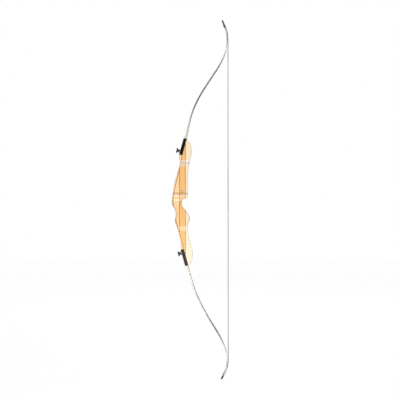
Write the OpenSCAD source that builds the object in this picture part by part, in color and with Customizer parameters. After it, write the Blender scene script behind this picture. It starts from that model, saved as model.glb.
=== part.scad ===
// Take-down recurve bow, strung, standing upright.
// The origin is the throat of the grip, the deepest point of its belly side, on the bow's centre plane.
// +Z is up, +X points to the archer and the string, +Y is the archer's right.
// A limb is drawn once, from its seat corner outward, and the lower one is its mirror image.

/* [Riser] */
// Width of the riser across the limb pads
riser_w = 44; // [38:1:52]
// Height of the upper limb's seat corner above the throat
upper_seat_z = 215.88; // [212:0.01:240]
// Distance of the upper limb's seat corner behind the throat, towards the archer
upper_seat_x = 1.87; // [1:0.01:6]
// Depth of the lower limb's seat corner below the throat
lower_seat_z = 203.98; // [202:0.01:226]
// Distance of the lower limb's seat corner behind the throat, towards the archer
lower_seat_x = 8.77; // [8:0.01:12]
// Lean of both limb seats towards the archer
seat_angle = 15.4; // [12:0.1:18]
// Length of a limb seat, which is also the length of a butt sleeve
seat_len = 76; // [64:1:80]
// Length of wood past the end of each seat, along the riser
horn_len = 3; // [1:0.5:6]
// Width of the grip
grip_w = 30; // [24:1:36]
// Radius of the grip's rounded edges
grip_round = 12.5; // [6:0.5:13]
// Radius of the edges elsewhere on the riser
edge_round = 4; // [1:0.5:6]

/* [Sight window] */
// Height of the plunger hole above the throat
plunger_z = 54; // [51:0.5:57]
// Distance of the plunger hole behind the throat, towards the archer
plunger_x = 3.2; // [1:0.1:6]
// Side face of the window, right of the centre plane
window_face = 3.5; // [0:0.5:8]
// Height of the arrow shelf below the plunger hole
shelf_drop = 12; // [9:0.5:16]
// Height above the plunger hole at which the window starts to run out
window_top = 112; // [90:1:125]
// Length over which the window runs out to the full width
window_ramp = 29; // [20:1:32]

/* [Laminations] */
// Thickness of the dark straight veneers
straight_veneer = 2.3; // [1.5:0.1:3.5]
// Thickness of the dark curved veneer
curved_veneer = 2.4; // [1.5:0.1:3.5]
// Distance of the back straight veneer in front of the plunger hole
back_veneer_x = 13; // [12:0.5:16]
// Distance of the belly straight veneer behind the plunger hole
belly_veneer_x = 14; // [11:0.5:16]

/* [Bushings] */
// Outer radius of the plunger bushing
plunger_r = 5.6; // [5:0.1:7]
// Tapping radius of the plunger and stabilizer threads, 5/16-24
plunger_bore_r = 3.45; // [3:0.05:4]
// Outer radius of the stabilizer bushing
stab_r = 6.5; // [5.5:0.1:8]
// Length of the stabilizer bushing
stab_len = 20; // [14:1:24]
// Thickness of the wall at the stabilizer bushing's blind end
stab_floor_t = 2; // [1:0.5:4]
// Width of the stabilizer bushing's flange beyond its body
stab_rim = 1.5; // [1:0.1:2]
// Thickness of the stabilizer bushing's flange
stab_rim_t = 1; // [0.6:0.1:2]
// Depth of the stabilizer bushing's axis below the throat
stab_drop = 106; // [100:1:112]
// Outer radius of a sight bushing
sight_r = 3.6; // [3:0.1:4.5]
// Tapping radius of a sight screw thread, 10-24
sight_bore_r = 1.9; // [1.6:0.05:2.2]
// Length of a sight bushing
sight_len = 12; // [8:0.5:14]
// Height of the lower sight bushing above the plunger hole
sight_low_z = 40; // [30:1:60]
// Distance between the two sight bushings
sight_pitch = 33.3; // [25:0.1:40]

/* [Limb] */
// Length of the upper limb outside its sleeve, along its centre line
upper_limb_len = 583; // [560:1:620]
// Length of the lower limb outside its sleeve, along its centre line
lower_limb_len = 560; // [540:1:600]
// Width of a limb at its butt, inside the sleeve
limb_w = 42.4; // [36:0.2:44]
// Width of a limb half way along
limb_mid_w = 37; // [30:0.5:40]
// Width of a limb where the recurve starts
limb_recurve_w = 21; // [16:0.5:26]
// Width of a limb at its string nocks
limb_tip_w = 14.5; // [12:0.5:18]
// Thickness of a limb's laminations at the butt
limb_t = 5.4; // [4.6:0.1:7]
// Thickness of a limb's laminations at the tip
limb_tip_t = 3.8; // [3.2:0.1:5]
// Thickness of one glass facing
glass_t = 1.1; // [0.6:0.1:1.4]
// Thickness of the wood wedge on the back of the butt
wedge_t = 6.8; // [5:0.1:9]
// Length of the wedge outside the sleeve
wedge_len = 112; // [80:1:120]
// Length of limb outside the sleeve that stays with the riser
root_len = 130; // [122:1:150]
// Thickness of the overlay on the back of the tip
overlay_t = 2.4; // [1.5:0.1:4]
// Length of the tip overlay
overlay_len = 44; // [36:1:60]
// Distance of the string nocks from the end of the limb
nock_back = 27; // [22:0.5:32]
// Radius of a string nock's groove
nock_r = 2.2; // [1.8:0.1:2.6]

/* [Butt sleeve] */
// Wall thickness of the black butt sleeve
sleeve_t = 0.8; // [0.5:0.1:1.5]
// Radius of the sleeve's long edges
sleeve_round = 1.2; // [0.4:0.1:2]

/* [Limb bolt] */
// Distance of the limb bolt from the inner end of the seat
bolt_u = 16.5; // [13:0.5:20]
// Radius of the bolt's threaded stud
stud_r = 3.95; // [3:0.05:5]
// Radial play of the stud in its threaded insert
stud_play = 0.05; // [0.02:0.01:0.1]
// Radial play of the stud in the limb butt
butt_play = 0.4; // [0.2:0.05:1]
// Length of the stud inside the insert
stud_grip = 13.5; // [10:0.5:15]
// Radius of the threaded insert
insert_r = 6; // [5.5:0.1:8]
// Length of the threaded insert
insert_len = 16; // [15.5:0.5:20]
// Radius of the knob's hand disc
knob_r = 11.5; // [9:0.5:14]
// Thickness of the knob's hand disc
knob_disc_t = 5.5; // [4:0.5:8]
// Height of the whole knob
knob_h = 15.5; // [13:0.5:20]
// Radius of the knob's foot
knob_foot_r = 8.5; // [7.5:0.5:10]
// Radius of the knob's waist
knob_waist_r = 5.6; // [5.2:0.1:6.5]
// Thickness of the knob's foot below its waist
knob_foot_t = 2.4; // [1.5:0.1:3.5]
// Width of the edge bevels on the knob and the stud's end
knob_bevel = 0.8; // [0.3:0.1:1]
// Thickness of the knob over the end of the stud
knob_cap_t = 5; // [3:0.5:6]
// Number of flutes round the knob's hand disc
knob_flutes = 10; // [6:1:12]
// Radius of one flute
flute_r = 2; // [1:0.1:2.5]
// Depth of one flute
flute_depth = 0.9; // [0.4:0.1:1.4]
// Thickness of the washer under the knob
washer_t = 1.5; // [1:0.1:2.5]
// Radius of the washer
washer_r = 9.5; // [8:0.5:12]

/* [Alignment pin] */
// Radius of the pin that locates the limb butt
pin_r = 3; // [2:0.1:4]
// Distance of the pin from the inner end of the seat
pin_u = 56; // [44:1:60]
// Length of the pin inside the riser
pin_sunk = 12; // [8:0.5:16]
// Length of the pin that stands above the seat
pin_proud = 4; // [2.5:0.1:4.5]
// Radial play of the pin in the limb butt
pin_play = 0.1; // [0.05:0.05:0.3]
// Width of the bevel round the pin's tip
pin_bevel = 0.6; // [0.3:0.1:1]
// Depth of the pin's hole past the pin's tip
pin_end_play = 0.5; // [0.2:0.1:1]

/* [String] */
// Radius of the string
string_r = 1.3; // [0.8:0.05:1.4]
// Thickness of a serving's winding
serving_t = 0.3; // [0.25:0.05:0.6]
// Length of the end serving, from the loop
end_serving = 120; // [80:1:160]
// Length of the centre serving on each side of the nocking point
centre_serving = 90; // [60:1:110]
// Height of the nocking point above the plunger hole
nocking_z = 6; // [3:0.5:9]
// Gap between the string and the limb that it lies on
string_gap = 0.3; // [0.3:0.05:0.6]
// Distance from the nocks to where the loop's two strands join
loop_len = 26; // [22:1:32]
// Radius of one strand of the loop
loop_r = 0.95; // [0.7:0.05:1.1]

/* [Hidden] */
$fn = 64;

amber = [0.92, 0.66, 0.36];
cream = [0.96, 0.88, 0.74];
pale = [0.96, 0.82, 0.58];
dark_veneer = [0.55, 0.33, 0.18];
brass = [0.78, 0.62, 0.32];
steel = [0.66, 0.67, 0.69];
black_plastic = [0.1, 0.1, 0.11];
glass_grey = [0.2, 0.2, 0.2];
maple = [0.9, 0.82, 0.66];
thread_grey = [0.25, 0.25, 0.26];

// Sizes that follow from the ones above
sleeve_depth = 2 * sleeve_t + limb_t + wedge_t;
seat_slope = tan(seat_angle);
upper_end_z = upper_seat_z + seat_len * cos(seat_angle) + horn_len;
lower_end_z = -(lower_seat_z + seat_len * cos(seat_angle) + horn_len);
upper_back_x = upper_seat_x - sleeve_depth * cos(seat_angle);
lower_back_x = lower_seat_x - sleeve_depth * cos(seat_angle);
ledge_rise = sleeve_depth * sin(seat_angle);
half_w = riser_w / 2;
half_grip = grip_w / 2;
shelf_z = plunger_z - shelf_drop;
butt_hole_r = stud_r + butt_play;
insert_bore_r = stud_r + stud_play;
far = 120;
window_z = plunger_z + window_top;
stab_z = -stab_drop;
sight_heights = [plunger_z + sight_low_z, plunger_z + sight_low_z + sight_pitch];

// Outlines of the riser as [height, value] rows, from the lower end up
back_line = [
    [lower_end_z, lower_back_x], [-(lower_seat_z + ledge_rise), lower_back_x], [-188, -3.4], [-165, -6.7],
    [-138, -11.7], [-120, -17.5], [-102, -23.4], [-89, -28.8], [-80, -31.5], [-66, -29.2], [-57, -27.2],
    [-44, -26.5], [-30, -30.1], [-21, -34.6], [-12, -40], [-1, -44.5], [17, -44.3], [37, -42.3],
    [60, -39.1], [96, -32.4], [132, -22], [168, -12.1], [181, -8.7], [195, -10],
    [upper_seat_z + ledge_rise, upper_back_x], [upper_end_z, upper_back_x]
];
belly_line = [
    [lower_end_z, lower_seat_x + 24.3], [-(lower_seat_z + 64.8), lower_seat_x + 30.8],
    [-(lower_seat_z + 50.8), lower_seat_x + 37.2], [-(lower_seat_z + 28.8), lower_seat_x + 40.8],
    [-(lower_seat_z + 4.8), lower_seat_x + 38.1], [-188, 41.9], [-165, 34.7], [-147, 31.6], [-120, 27.1],
    [-98, 28.4], [-85.5, 30.7], [-74, 36.1], [-67.5, 37], [-54, 32.9], [-40.5, 27.1], [-26.5, 17.2],
    [-18, 9.1], [-9, 2.7], [0, 0], [9, 0.5], [16, 4.6], [22.5, 16.2], [30, 26.8],
    [37, 27.8], [60, 28.4], [82, 28], [127, 28.4], [159, 31.6], [177, 35.2], [195, 38.7],
    [upper_seat_z + 0.8, upper_seat_x + 40.9], [upper_seat_z + 23.8, upper_seat_x + 43.6],
    [upper_seat_z + 41.8, upper_seat_x + 41.8], [upper_seat_z + 54.8, upper_seat_x + 37.3],
    [upper_seat_z + 68.8, upper_seat_x + 26.8], [upper_end_z, upper_seat_x + 21.9]
];
left_line = [
    [lower_end_z, -half_w], [-128, -half_w], [-98, -half_grip], [-6, -half_grip], [9, -half_grip - 0.5],
    [22, -half_grip - 3.5], [shelf_z - 11, -half_grip - 2.5], [shelf_z - 3, -half_grip + 1],
    [shelf_z - 0.7, -half_grip + 6], [shelf_z, window_face], [window_z, window_face],
    [window_z + window_ramp, -half_w], [upper_end_z, -half_w]
];
right_line = [
    [lower_end_z, half_w], [-128, half_w], [-98, half_grip], [4, half_grip], [20, half_grip + 2.5],
    [shelf_z, half_w - 1.5], [shelf_z + 27, half_w], [upper_end_z, half_w]
];
round_line = [
    [lower_end_z, edge_round], [-131, edge_round], [-96, grip_round - 1.5], [-76, grip_round],
    [-6, grip_round], [14, grip_round - 2], [shelf_z, edge_round], [upper_end_z, edge_round]
];
// Centre of the curved veneer. It runs just under both seats, so that the seats are cut into it.
seat_bite = 0.4;
veneer_seat = curved_veneer / 2 - seat_bite;
curve_line = [
    [lower_end_z - 10, lower_seat_x + veneer_seat - (lower_end_z - 10 + lower_seat_z) * seat_slope],
    [-(lower_seat_z + 4), lower_seat_x + veneer_seat + 4 * seat_slope],
    [-lower_seat_z, lower_seat_x + veneer_seat], [-170, 1.4], [-138, -7.6], [-107, -16.6], [-80, -24.3],
    [-36, -33.8], [9, -38.3], [55, -33.3], [91, -25.6], [139, -14.4], [177, -5.4],
    [upper_seat_z, upper_seat_x + veneer_seat], [upper_seat_z + 4, upper_seat_x + veneer_seat + 4 * seat_slope],
    [upper_end_z + 10, upper_seat_x + veneer_seat + (upper_end_z + 10 - upper_seat_z) * seat_slope]
];
// Height at which the finger hollow parts the outer strip
strip_split = -41;

// Monotone cubic through [height, value] rows
function secant(l, i) = (l[i + 1][1] - l[i][1]) / (l[i + 1][0] - l[i][0]);
function slope(l, i) =
    i == 0 ? secant(l, 0) :
    i == len(l) - 1 ? secant(l, i - 1) :
    let (a = secant(l, i - 1), b = secant(l, i)) a * b <= 0 ? 0 : 2 * a * b / (a + b);
function row(l, z, i = 0) = i >= len(l) - 2 || z < l[i + 1][0] ? i : row(l, z, i + 1);
function at(l, z) =
    let (
        i = row(l, z),
        h = l[i + 1][0] - l[i][0],
        t = max(0, min(1, (z - l[i][0]) / h)),
        u = 1 - t
    )
    l[i][1] * (1 + 2 * t) * u * u + slope(l, i) * h * t * u * u
    + l[i + 1][1] * t * t * (3 - 2 * t) - slope(l, i + 1) * h * t * t * u;

// The riser's blank: rounded rectangles stacked along its height
corner_steps = 4;
ring_size = 4 * (corner_steps + 1);
ring_levels = concat(
    [for (i = [0:22]) lower_end_z + i * (shelf_z - 26 - lower_end_z) / 22],
    [for (d = [19, 14, 10, 6.5, 4, 2.2, 1.2, 0.7, 0]) shelf_z - d],
    [for (i = [1:19]) shelf_z + i * (upper_end_z - shelf_z) / 19]
);
function ring(z) =
    let (
        x0 = at(back_line, z), x1 = at(belly_line, z),
        y0 = at(left_line, z), y1 = at(right_line, z),
        r = min(at(round_line, z), (x1 - x0) / 2 - 0.5, (y1 - y0) / 2 - 0.5)
    )
    [for (c = [0:3]) for (k = [0:corner_steps])
        let (a = 90 * (c + k / corner_steps))
        [(c == 0 || c == 3 ? x1 - r : x0 + r) + r * cos(a), (c < 2 ? y1 - r : y0 + r) + r * sin(a), z]];

// A closed solid from rings of equally many points, each ring anticlockwise seen from the next one
module loft(rings) {
    n = len(rings[0]);
    m = len(rings);
    sides = [for (i = [0:m - 2]) for (j = [0:n - 1])
        let (a = i * n + j, b = i * n + (j + 1) % n, c = b + n, d = a + n)
        each [[c, b, a], [d, c, a]]];
    caps = [[for (j = [0:n - 1]) j], [for (j = [n - 1:-1:0]) (m - 1) * n + j]];
    polyhedron(points = [for (r = rings) each r], faces = concat(sides, caps), convexity = 8);
}

// Side outlines are drawn as (x, z) and given a width along Y
module side(y0, y1) {
    translate([0, y1, 0]) rotate([90, 0, 0]) linear_extrude(y1 - y0) children();
}
// Front outlines are drawn as (y, z) and given a depth along X
module front(x0, x1) {
    translate([x0, 0, 0]) rotate([90, 0, 90]) linear_extrude(x1 - x0) children();
}
// The frame of a limb: its seat corner at the origin, z outward
module at_limb(upper) {
    if (upper) translate([upper_seat_x, 0, upper_seat_z]) children();
    else translate([lower_seat_x, 0, -lower_seat_z]) mirror([0, 0, 1]) children();
}
// The frame of a seat: z along the seat, x = 0 on the seat's face, wood at x > 0
module at_seat(upper) {
    at_limb(upper) rotate([0, seat_angle, 0]) children();
}
// A frame with z pointing straight out of the seat at a distance u along it
module out_of_seat(upper, u) {
    at_seat(upper) translate([0, 0, u]) rotate([0, -90, 0]) children();
}

module riser_blank() {
    difference() {
        loft([for (z = ring_levels) ring(z)]);
        for (upper = [true, false]) at_seat(upper) translate([-far, -far, 0]) cube([far, 2 * far, 2 * far]);
    }
}
// Everything that is bored out of the riser
module riser_bores() {
    translate([plunger_x, 0, plunger_z]) rotate([-90, 0, 0]) cylinder(r = plunger_r, h = far);
    for (z = sight_heights)
        translate([plunger_x, half_w - sight_len, z]) rotate([-90, 0, 0]) cylinder(r = sight_r, h = far);
    translate([-far, 0, stab_z]) rotate([0, 90, 0]) cylinder(r = stab_r, h = far + stab_seat_x + stab_len);
    translate([-far, 0, stab_z]) rotate([0, 90, 0]) cylinder(r = spot_face_r, h = far + stab_seat_x);
    for (upper = [true, false]) {
        out_of_seat(upper, bolt_u) translate([0, 0, -insert_len]) cylinder(r = insert_r, h = insert_len + 1);
        out_of_seat(upper, pin_u) translate([0, 0, -pin_sunk]) cylinder(r = pin_r, h = pin_sunk + 1);
    }
}
// The stabilizer bushing sits in a flat spot face, as deep as the back's slope there needs
spot_face_r = stab_r + stab_rim + 1.5;
spot_face_depth = 0.6;
stab_seat_x = at(back_line, stab_z - spot_face_r) + spot_face_depth;

curve_levels = [for (i = [0:48]) curve_line[0][0] + i * (curve_line[len(curve_line) - 1][0] - curve_line[0][0]) / 48];
function curve_edge(side_x) = [for (z = curve_levels) [at(curve_line, z) + side_x, z]];
function reversed(l) = [for (i = [len(l) - 1:-1:0]) l[i]];

module outer_strip_zone() {
    side(-far, far)
        polygon(concat(
            curve_edge(-curved_veneer / 2),
            [[-far, curve_levels[len(curve_levels) - 1]], [-far, curve_levels[0]]]
        ));
}
module curved_veneer_zone() {
    side(-far, far) polygon(concat(curve_edge(curved_veneer / 2), reversed(curve_edge(-curved_veneer / 2))));
}
module inner_zone() {
    side(-far, far)
        polygon(concat(
            [[far, curve_levels[0]], [far, curve_levels[len(curve_levels) - 1]]],
            reversed(curve_edge(curved_veneer / 2))
        ));
}
// The slab between two depths and two heights
module slab(x0, x1, z0 = -4 * far, z1 = 4 * far) {
    translate([x0, -far, z0]) cube([x1 - x0, 2 * far, z1 - z0]);
}
// One straight lamination of the inner block
module inner_lamination(x0, x1, z0 = -4 * far, z1 = 4 * far) {
    difference() {
        intersection() {
            riser_blank();
            inner_zone();
            slab(x0, x1, z0, z1);
        }
        riser_bores();
    }
}
back_face = plunger_x - back_veneer_x - straight_veneer / 2;
belly_face = plunger_x + belly_veneer_x + straight_veneer / 2;

module riser_core() {
    color(amber) inner_lamination(back_face + straight_veneer, belly_face - straight_veneer);
}
module upper_belly_block() {
    color(cream) inner_lamination(belly_face, far, 0);
}
module lower_belly_block() {
    color(cream) inner_lamination(belly_face, far, -4 * far, 0);
}
module upper_belly_veneer() {
    color(dark_veneer) inner_lamination(belly_face - straight_veneer, belly_face, 0);
}
module lower_belly_veneer() {
    color(dark_veneer) inner_lamination(belly_face - straight_veneer, belly_face, -4 * far, 0);
}
module back_block() {
    color(pale) inner_lamination(-far, back_face);
}
module back_veneer() {
    color(dark_veneer) inner_lamination(back_face, back_face + straight_veneer);
}
module curved_veneer_piece(z0, z1) {
    color(dark_veneer)
        difference() {
            intersection() {
                riser_blank();
                curved_veneer_zone();
                slab(-far, far, z0, z1);
            }
            riser_bores();
        }
}
module upper_curved_veneer() {
    curved_veneer_piece(strip_split, 4 * far);
}
module lower_curved_veneer() {
    curved_veneer_piece(-4 * far, strip_split);
}
// The outer strip ends at the ledge of each seat
module back_strip_piece(z0, z1) {
    color(pale)
        difference() {
            intersection() {
                riser_blank();
                outer_strip_zone();
                slab(-far, far, z0, z1);
            }
            riser_bores();
            for (upper = [true, false]) at_seat(upper) translate([-far, -far, 0]) cube(2 * far);
        }
}
module upper_back_strip() {
    back_strip_piece(strip_split, 4 * far);
}
module lower_back_strip() {
    back_strip_piece(-4 * far, strip_split);
}

// A bushing along z, its mouth at z = 0 and its body below
module bushing(r, bore_r, h) {
    translate([0, 0, -h])
        difference() {
            cylinder(r = r, h = h);
            translate([0, 0, -1]) cylinder(r = bore_r, h = h + 2);
        }
}
module plunger_bushing() {
    color(brass)
        translate([plunger_x, half_w, plunger_z]) rotate([-90, 0, 0])
            bushing(plunger_r, plunger_bore_r, half_w - window_face);
}
module stabilizer_bushing() {
    color(brass)
        translate([stab_seat_x, 0, stab_z]) rotate([0, -90, 0])
            difference() {
                union() {
                    translate([0, 0, -stab_len]) cylinder(r = stab_r, h = stab_len);
                    cylinder(r = stab_r + stab_rim, h = stab_rim_t);
                }
                translate([0, 0, stab_floor_t - stab_len])
                    cylinder(r = plunger_bore_r, h = stab_len + stab_rim_t);
            }
}
module sight_bushings() {
    color(brass)
        for (z = sight_heights)
            translate([plunger_x, half_w, z]) rotate([-90, 0, 0]) bushing(sight_r, sight_bore_r, sight_len);
}
module bolt_insert(upper) {
    color(brass) out_of_seat(upper, bolt_u) bushing(insert_r, insert_bore_r, insert_len);
}
module upper_bolt_insert() {
    bolt_insert(true);
}
module lower_bolt_insert() {
    bolt_insert(false);
}
module alignment_pin(upper) {
    color(steel)
        out_of_seat(upper, pin_u)
            translate([0, 0, -pin_sunk])
                rotate_extrude()
                    polygon([
                        [0, 0], [pin_r, 0], [pin_r, pin_sunk + pin_proud - pin_bevel],
                        [pin_r - pin_bevel, pin_sunk + pin_proud], [0, pin_sunk + pin_proud]
                    ]);
}
module upper_alignment_pin() {
    alignment_pin(true);
}
module lower_alignment_pin() {
    alignment_pin(false);
}

// A limb's centre line: arcs of [part of its length, turn], the turn positive towards the archer, from the
// sleeve's end outward
upper_bends = [
    [20, -3.5], [60, 0.5], [80, 12.3], [90, 8.6], [90, 0.5], [45, -5.5], [70, -17.5], [90, -28], [38, -5]
];
lower_bends = [
    [70, 0], [70, 8.2], [80, 5.2], [70, 3.6], [40, -1], [50, -6], [45, -8.5], [75, -31], [60, -15]
];
function total(l, i = 0) = i == len(l) ? 0 : l[i][0] + total(l, i + 1);
function to_length(l, length) = [for (a = l) [a[0] * length / total(l), a[1]]];
upper_arcs = to_length(upper_bends, upper_limb_len);
lower_arcs = to_length(lower_bends, lower_limb_len);
function arcs(upper) = upper ? upper_arcs : lower_arcs;
function limb_len(upper) = upper ? upper_limb_len : lower_limb_len;
// Where an arc of the given length and turn leads from the origin, when it starts at the given heading
function arc_step(length, turn, heading) =
    let (
        half = turn / 2,
        chord = abs(half) < 0.001 ? length : length * sin(half) / (half * PI / 180)
    )
    [chord * sin(heading + half), chord * cos(heading + half)];
// Place and heading [x, z, heading] on the centre line, at a distance s from the sleeve's end
function walk(l, s, i, p) =
    let (a = l[i])
    s <= a[0] || i == len(l) - 1
        ? let (f = s / a[0], d = arc_step(s, a[1] * f, p[2])) [p[0] + d[0], p[1] + d[1], p[2] + a[1] * f]
        : let (d = arc_step(a[0], a[1], p[2])) walk(l, s - a[0], i + 1, [p[0] + d[0], p[1] + d[1], p[2] + a[1]]);
butt_inset = sleeve_t + limb_t / 2;
butt_start = [-butt_inset * cos(seat_angle), butt_inset * sin(seat_angle)];
function limb_at(upper, s) =
    s <= 0
        ? let (d = arc_step(seat_len + s, 0, seat_angle)) [butt_start[0] + d[0], butt_start[1] + d[1], seat_angle]
        : let (d = arc_step(seat_len, 0, seat_angle))
            walk(arcs(upper), s, 0, [butt_start[0] + d[0], butt_start[1] + d[1], seat_angle]);
// The point a distance off the centre line towards the belly, as [x, z]
function beside(upper, s, off) =
    let (p = limb_at(upper, s)) [p[0] + off * cos(p[2]), p[1] - off * sin(p[2])];
// Half the thickness of the laminations
function half_t(upper, s) = s <= 0 ? limb_t / 2 : (limb_t + (limb_tip_t - limb_t) * s / limb_len(upper)) / 2;
// Half the thickness of the wood core
function half_core(upper, s) = half_t(upper, s) - glass_t;
// Thickness of the butt wedge, which fades out along a smooth curve
fade_edge = 0.4;
function wedge_at(s) =
    s <= 0 ? wedge_t : let (f = s / wedge_len) fade_edge + (wedge_t - fade_edge) * (1 - f) * (1 - f * 0.35);
// Thickness of the tip overlay, which fades out towards the grip
overlay_fade = 16;
function overlay_at(upper, s) =
    let (f = min(1, (s - limb_len(upper) + overlay_len) / overlay_fade))
    fade_edge + (overlay_t - fade_edge) * f * (2 - f);

// Distances along the limb at which its outline has points
root_stops = [-seat_len, 0, 10, 20, 35, 50, 65, 80, 95, wedge_len, root_len];
function overlay_stops(upper) =
    [for (i = [0:8]) limb_len(upper) - overlay_len + i * overlay_len / 8];
function limb_stops(upper) =
    concat(
        [for (i = [0:31]) root_len + i * (limb_len(upper) - overlay_len - root_len) / 32],
        overlay_stops(upper)
    );

module butt_lamination(upper, stops, belly, back) {
    side(-far, far)
        polygon(concat(
            [for (i = [0:len(stops) - 1]) beside(upper, stops[i], belly[i])],
            [for (i = [len(stops) - 1:-1:0]) beside(upper, stops[i], back[i])]
        ));
}

// Half the limb's width by height above its seat corner. The last stretch, the cap, is rounded off.
tip_cap = 12;
half_tip_end = limb_tip_w / 2 - 0.6;
tip_round = 5.4;
tip_z_upper = limb_at(true, limb_len(true))[1];
tip_z_lower = limb_at(false, limb_len(false))[1];
function width_line(upper) =
    let (tip = upper ? tip_z_upper : tip_z_lower)
    [
        [0, limb_w / 2], [0.3 * tip, limb_w / 2], [0.6 * tip, limb_mid_w / 2], [0.85 * tip, limb_recurve_w / 2],
        [tip - 50, limb_tip_w / 2 + 0.8], [tip - nock_back, limb_tip_w / 2], [tip - tip_cap, half_tip_end]
    ];
function half_outline(upper) =
    let (l = width_line(upper), tip = upper ? tip_z_upper : tip_z_lower)
    concat(
        [[limb_w / 2, -20]],
        [for (i = [0:32]) let (z = i * (tip - tip_cap) / 32) [at(l, z), z]],
        [for (a = [15:15:75]) [half_tip_end - tip_round * (1 - cos(a)), tip - tip_cap + (tip_cap - 1) * sin(a)]]
    );
module limb_outline(upper) {
    pts = half_outline(upper);
    front(-far, 3 * far)
        polygon(concat(pts, [for (i = [len(pts) - 1:-1:0]) [-pts[i][0], pts[i][1]]]));
}
// Grooves for the string loop on both edges of the tip, whose axes lie a little outside the edges
nock_rim = 0.4;
module nock_grooves(upper) {
    p = limb_at(upper, nock_s(upper));
    w = at(width_line(upper), p[1]);
    for (sign = [-1, 1])
        translate([p[0], sign * (w + nock_rim), p[1]]) rotate([0, p[2], 0]) rotate([0, 90, 0])
            cylinder(r = nock_r, h = 40, center = true);
}
module butt_holes() {
    rotate([0, seat_angle, 0]) {
        translate([-far, 0, bolt_u]) rotate([0, 90, 0]) cylinder(r = butt_hole_r, h = 2 * far);
        translate([-pin_proud - pin_end_play, 0, pin_u]) rotate([0, 90, 0]) cylinder(r = pin_r + pin_play, h = far);
    }
}
// A stretch of the limb at the riser, between two faces given as distances towards the belly
module butt_piece(upper, stops, belly, back) {
    at_limb(upper)
        difference() {
            intersection() {
                butt_lamination(upper, stops, belly, back);
                limb_outline(upper);
            }
            butt_holes();
        }
}
module limb_piece(upper, stops, belly, back) {
    at_limb(upper)
        difference() {
            intersection() {
                butt_lamination(upper, stops, belly, back);
                limb_outline(upper);
            }
            nock_grooves(upper);
        }
}
module butt_core(upper) {
    color(maple)
        butt_piece(upper, root_stops,
            [for (s = root_stops) half_core(upper, s)], [for (s = root_stops) -half_core(upper, s)]);
}
module butt_belly_glass(upper) {
    color(glass_grey)
        butt_piece(upper, root_stops,
            [for (s = root_stops) half_t(upper, s)], [for (s = root_stops) half_core(upper, s)]);
}
module butt_back_glass(upper) {
    color(glass_grey)
        butt_piece(upper, root_stops,
            [for (s = root_stops) -half_core(upper, s)], [for (s = root_stops) -half_t(upper, s)]);
}
module butt_wedge(upper) {
    stops = [for (s = root_stops) if (s <= wedge_len) s];
    color(maple)
        butt_piece(upper, stops,
            [for (s = stops) -half_t(upper, s)], [for (s = stops) -half_t(upper, s) - wedge_at(s)]);
}
// The sleeve is a thin tube round the butt, drilled like it
sleeve_outline = [
    for (c = [0:3]) for (a = [0:30:90])
        [(c == 0 || c == 3 ? -sleeve_round : sleeve_round - sleeve_depth) + sleeve_round * cos(90 * c + a),
         (c < 2 ? 1 : -1) * (half_w - sleeve_round) + sleeve_round * sin(90 * c + a)]
];
module butt_sleeve(upper) {
    color(black_plastic)
        at_limb(upper)
            difference() {
                rotate([0, seat_angle, 0])
                    difference() {
                        linear_extrude(seat_len)
                            polygon(sleeve_outline);
                        translate([-sleeve_depth + sleeve_t, -limb_w / 2, -1])
                            cube([sleeve_depth - 2 * sleeve_t, limb_w, seat_len + 2]);
                    }
                butt_holes();
            }
}
module upper_butt_core() {
    butt_core(true);
}
module lower_butt_core() {
    butt_core(false);
}
module upper_butt_belly_glass() {
    butt_belly_glass(true);
}
module lower_butt_belly_glass() {
    butt_belly_glass(false);
}
module upper_butt_back_glass() {
    butt_back_glass(true);
}
module lower_butt_back_glass() {
    butt_back_glass(false);
}
module upper_butt_wedge() {
    butt_wedge(true);
}
module lower_butt_wedge() {
    butt_wedge(false);
}
module upper_butt_sleeve() {
    butt_sleeve(true);
}
module lower_butt_sleeve() {
    butt_sleeve(false);
}

module limb_core(upper) {
    stops = limb_stops(upper);
    color(maple)
        limb_piece(upper, stops,
            [for (s = stops) half_core(upper, s)], [for (s = stops) -half_core(upper, s)]);
}
module limb_belly_glass(upper) {
    stops = limb_stops(upper);
    color(glass_grey)
        limb_piece(upper, stops,
            [for (s = stops) half_t(upper, s)], [for (s = stops) half_core(upper, s)]);
}
module limb_back_glass(upper) {
    stops = limb_stops(upper);
    color(glass_grey)
        limb_piece(upper, stops,
            [for (s = stops) -half_core(upper, s)], [for (s = stops) -half_t(upper, s)]);
}
module tip_overlay(upper) {
    stops = overlay_stops(upper);
    color(black_plastic)
        limb_piece(upper, stops,
            [for (s = stops) -half_t(upper, s)],
            [for (s = stops) -half_t(upper, s) - overlay_at(upper, s)]);
}
module upper_limb_core() {
    limb_core(true);
}
module lower_limb_core() {
    limb_core(false);
}
module upper_limb_belly_glass() {
    limb_belly_glass(true);
}
module lower_limb_belly_glass() {
    limb_belly_glass(false);
}
module upper_limb_back_glass() {
    limb_back_glass(true);
}
module lower_limb_back_glass() {
    limb_back_glass(false);
}
module upper_tip_overlay() {
    tip_overlay(true);
}
module lower_tip_overlay() {
    tip_overlay(false);
}

// The bolt: a stud moulded into a waisted hand knob, over a washer on the sleeve
module washer(upper) {
    color(steel)
        out_of_seat(upper, bolt_u)
            translate([0, 0, sleeve_depth])
                difference() {
                    cylinder(r = washer_r, h = washer_t);
                    translate([0, 0, -1]) cylinder(r = insert_bore_r, h = washer_t + 2);
                }
}
knob_foot_z = sleeve_depth + washer_t;
dish = 0.6;
stud_in_knob = knob_h - knob_cap_t;
stud_len = stud_grip + knob_foot_z + stud_in_knob;
module stud(upper) {
    color(steel)
        out_of_seat(upper, bolt_u)
            translate([0, 0, -stud_grip])
                rotate_extrude()
                    polygon([
                        [0, 0], [stud_r - knob_bevel, 0], [stud_r, knob_bevel], [stud_r, stud_len], [0, stud_len]
                    ]);
}
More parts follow.
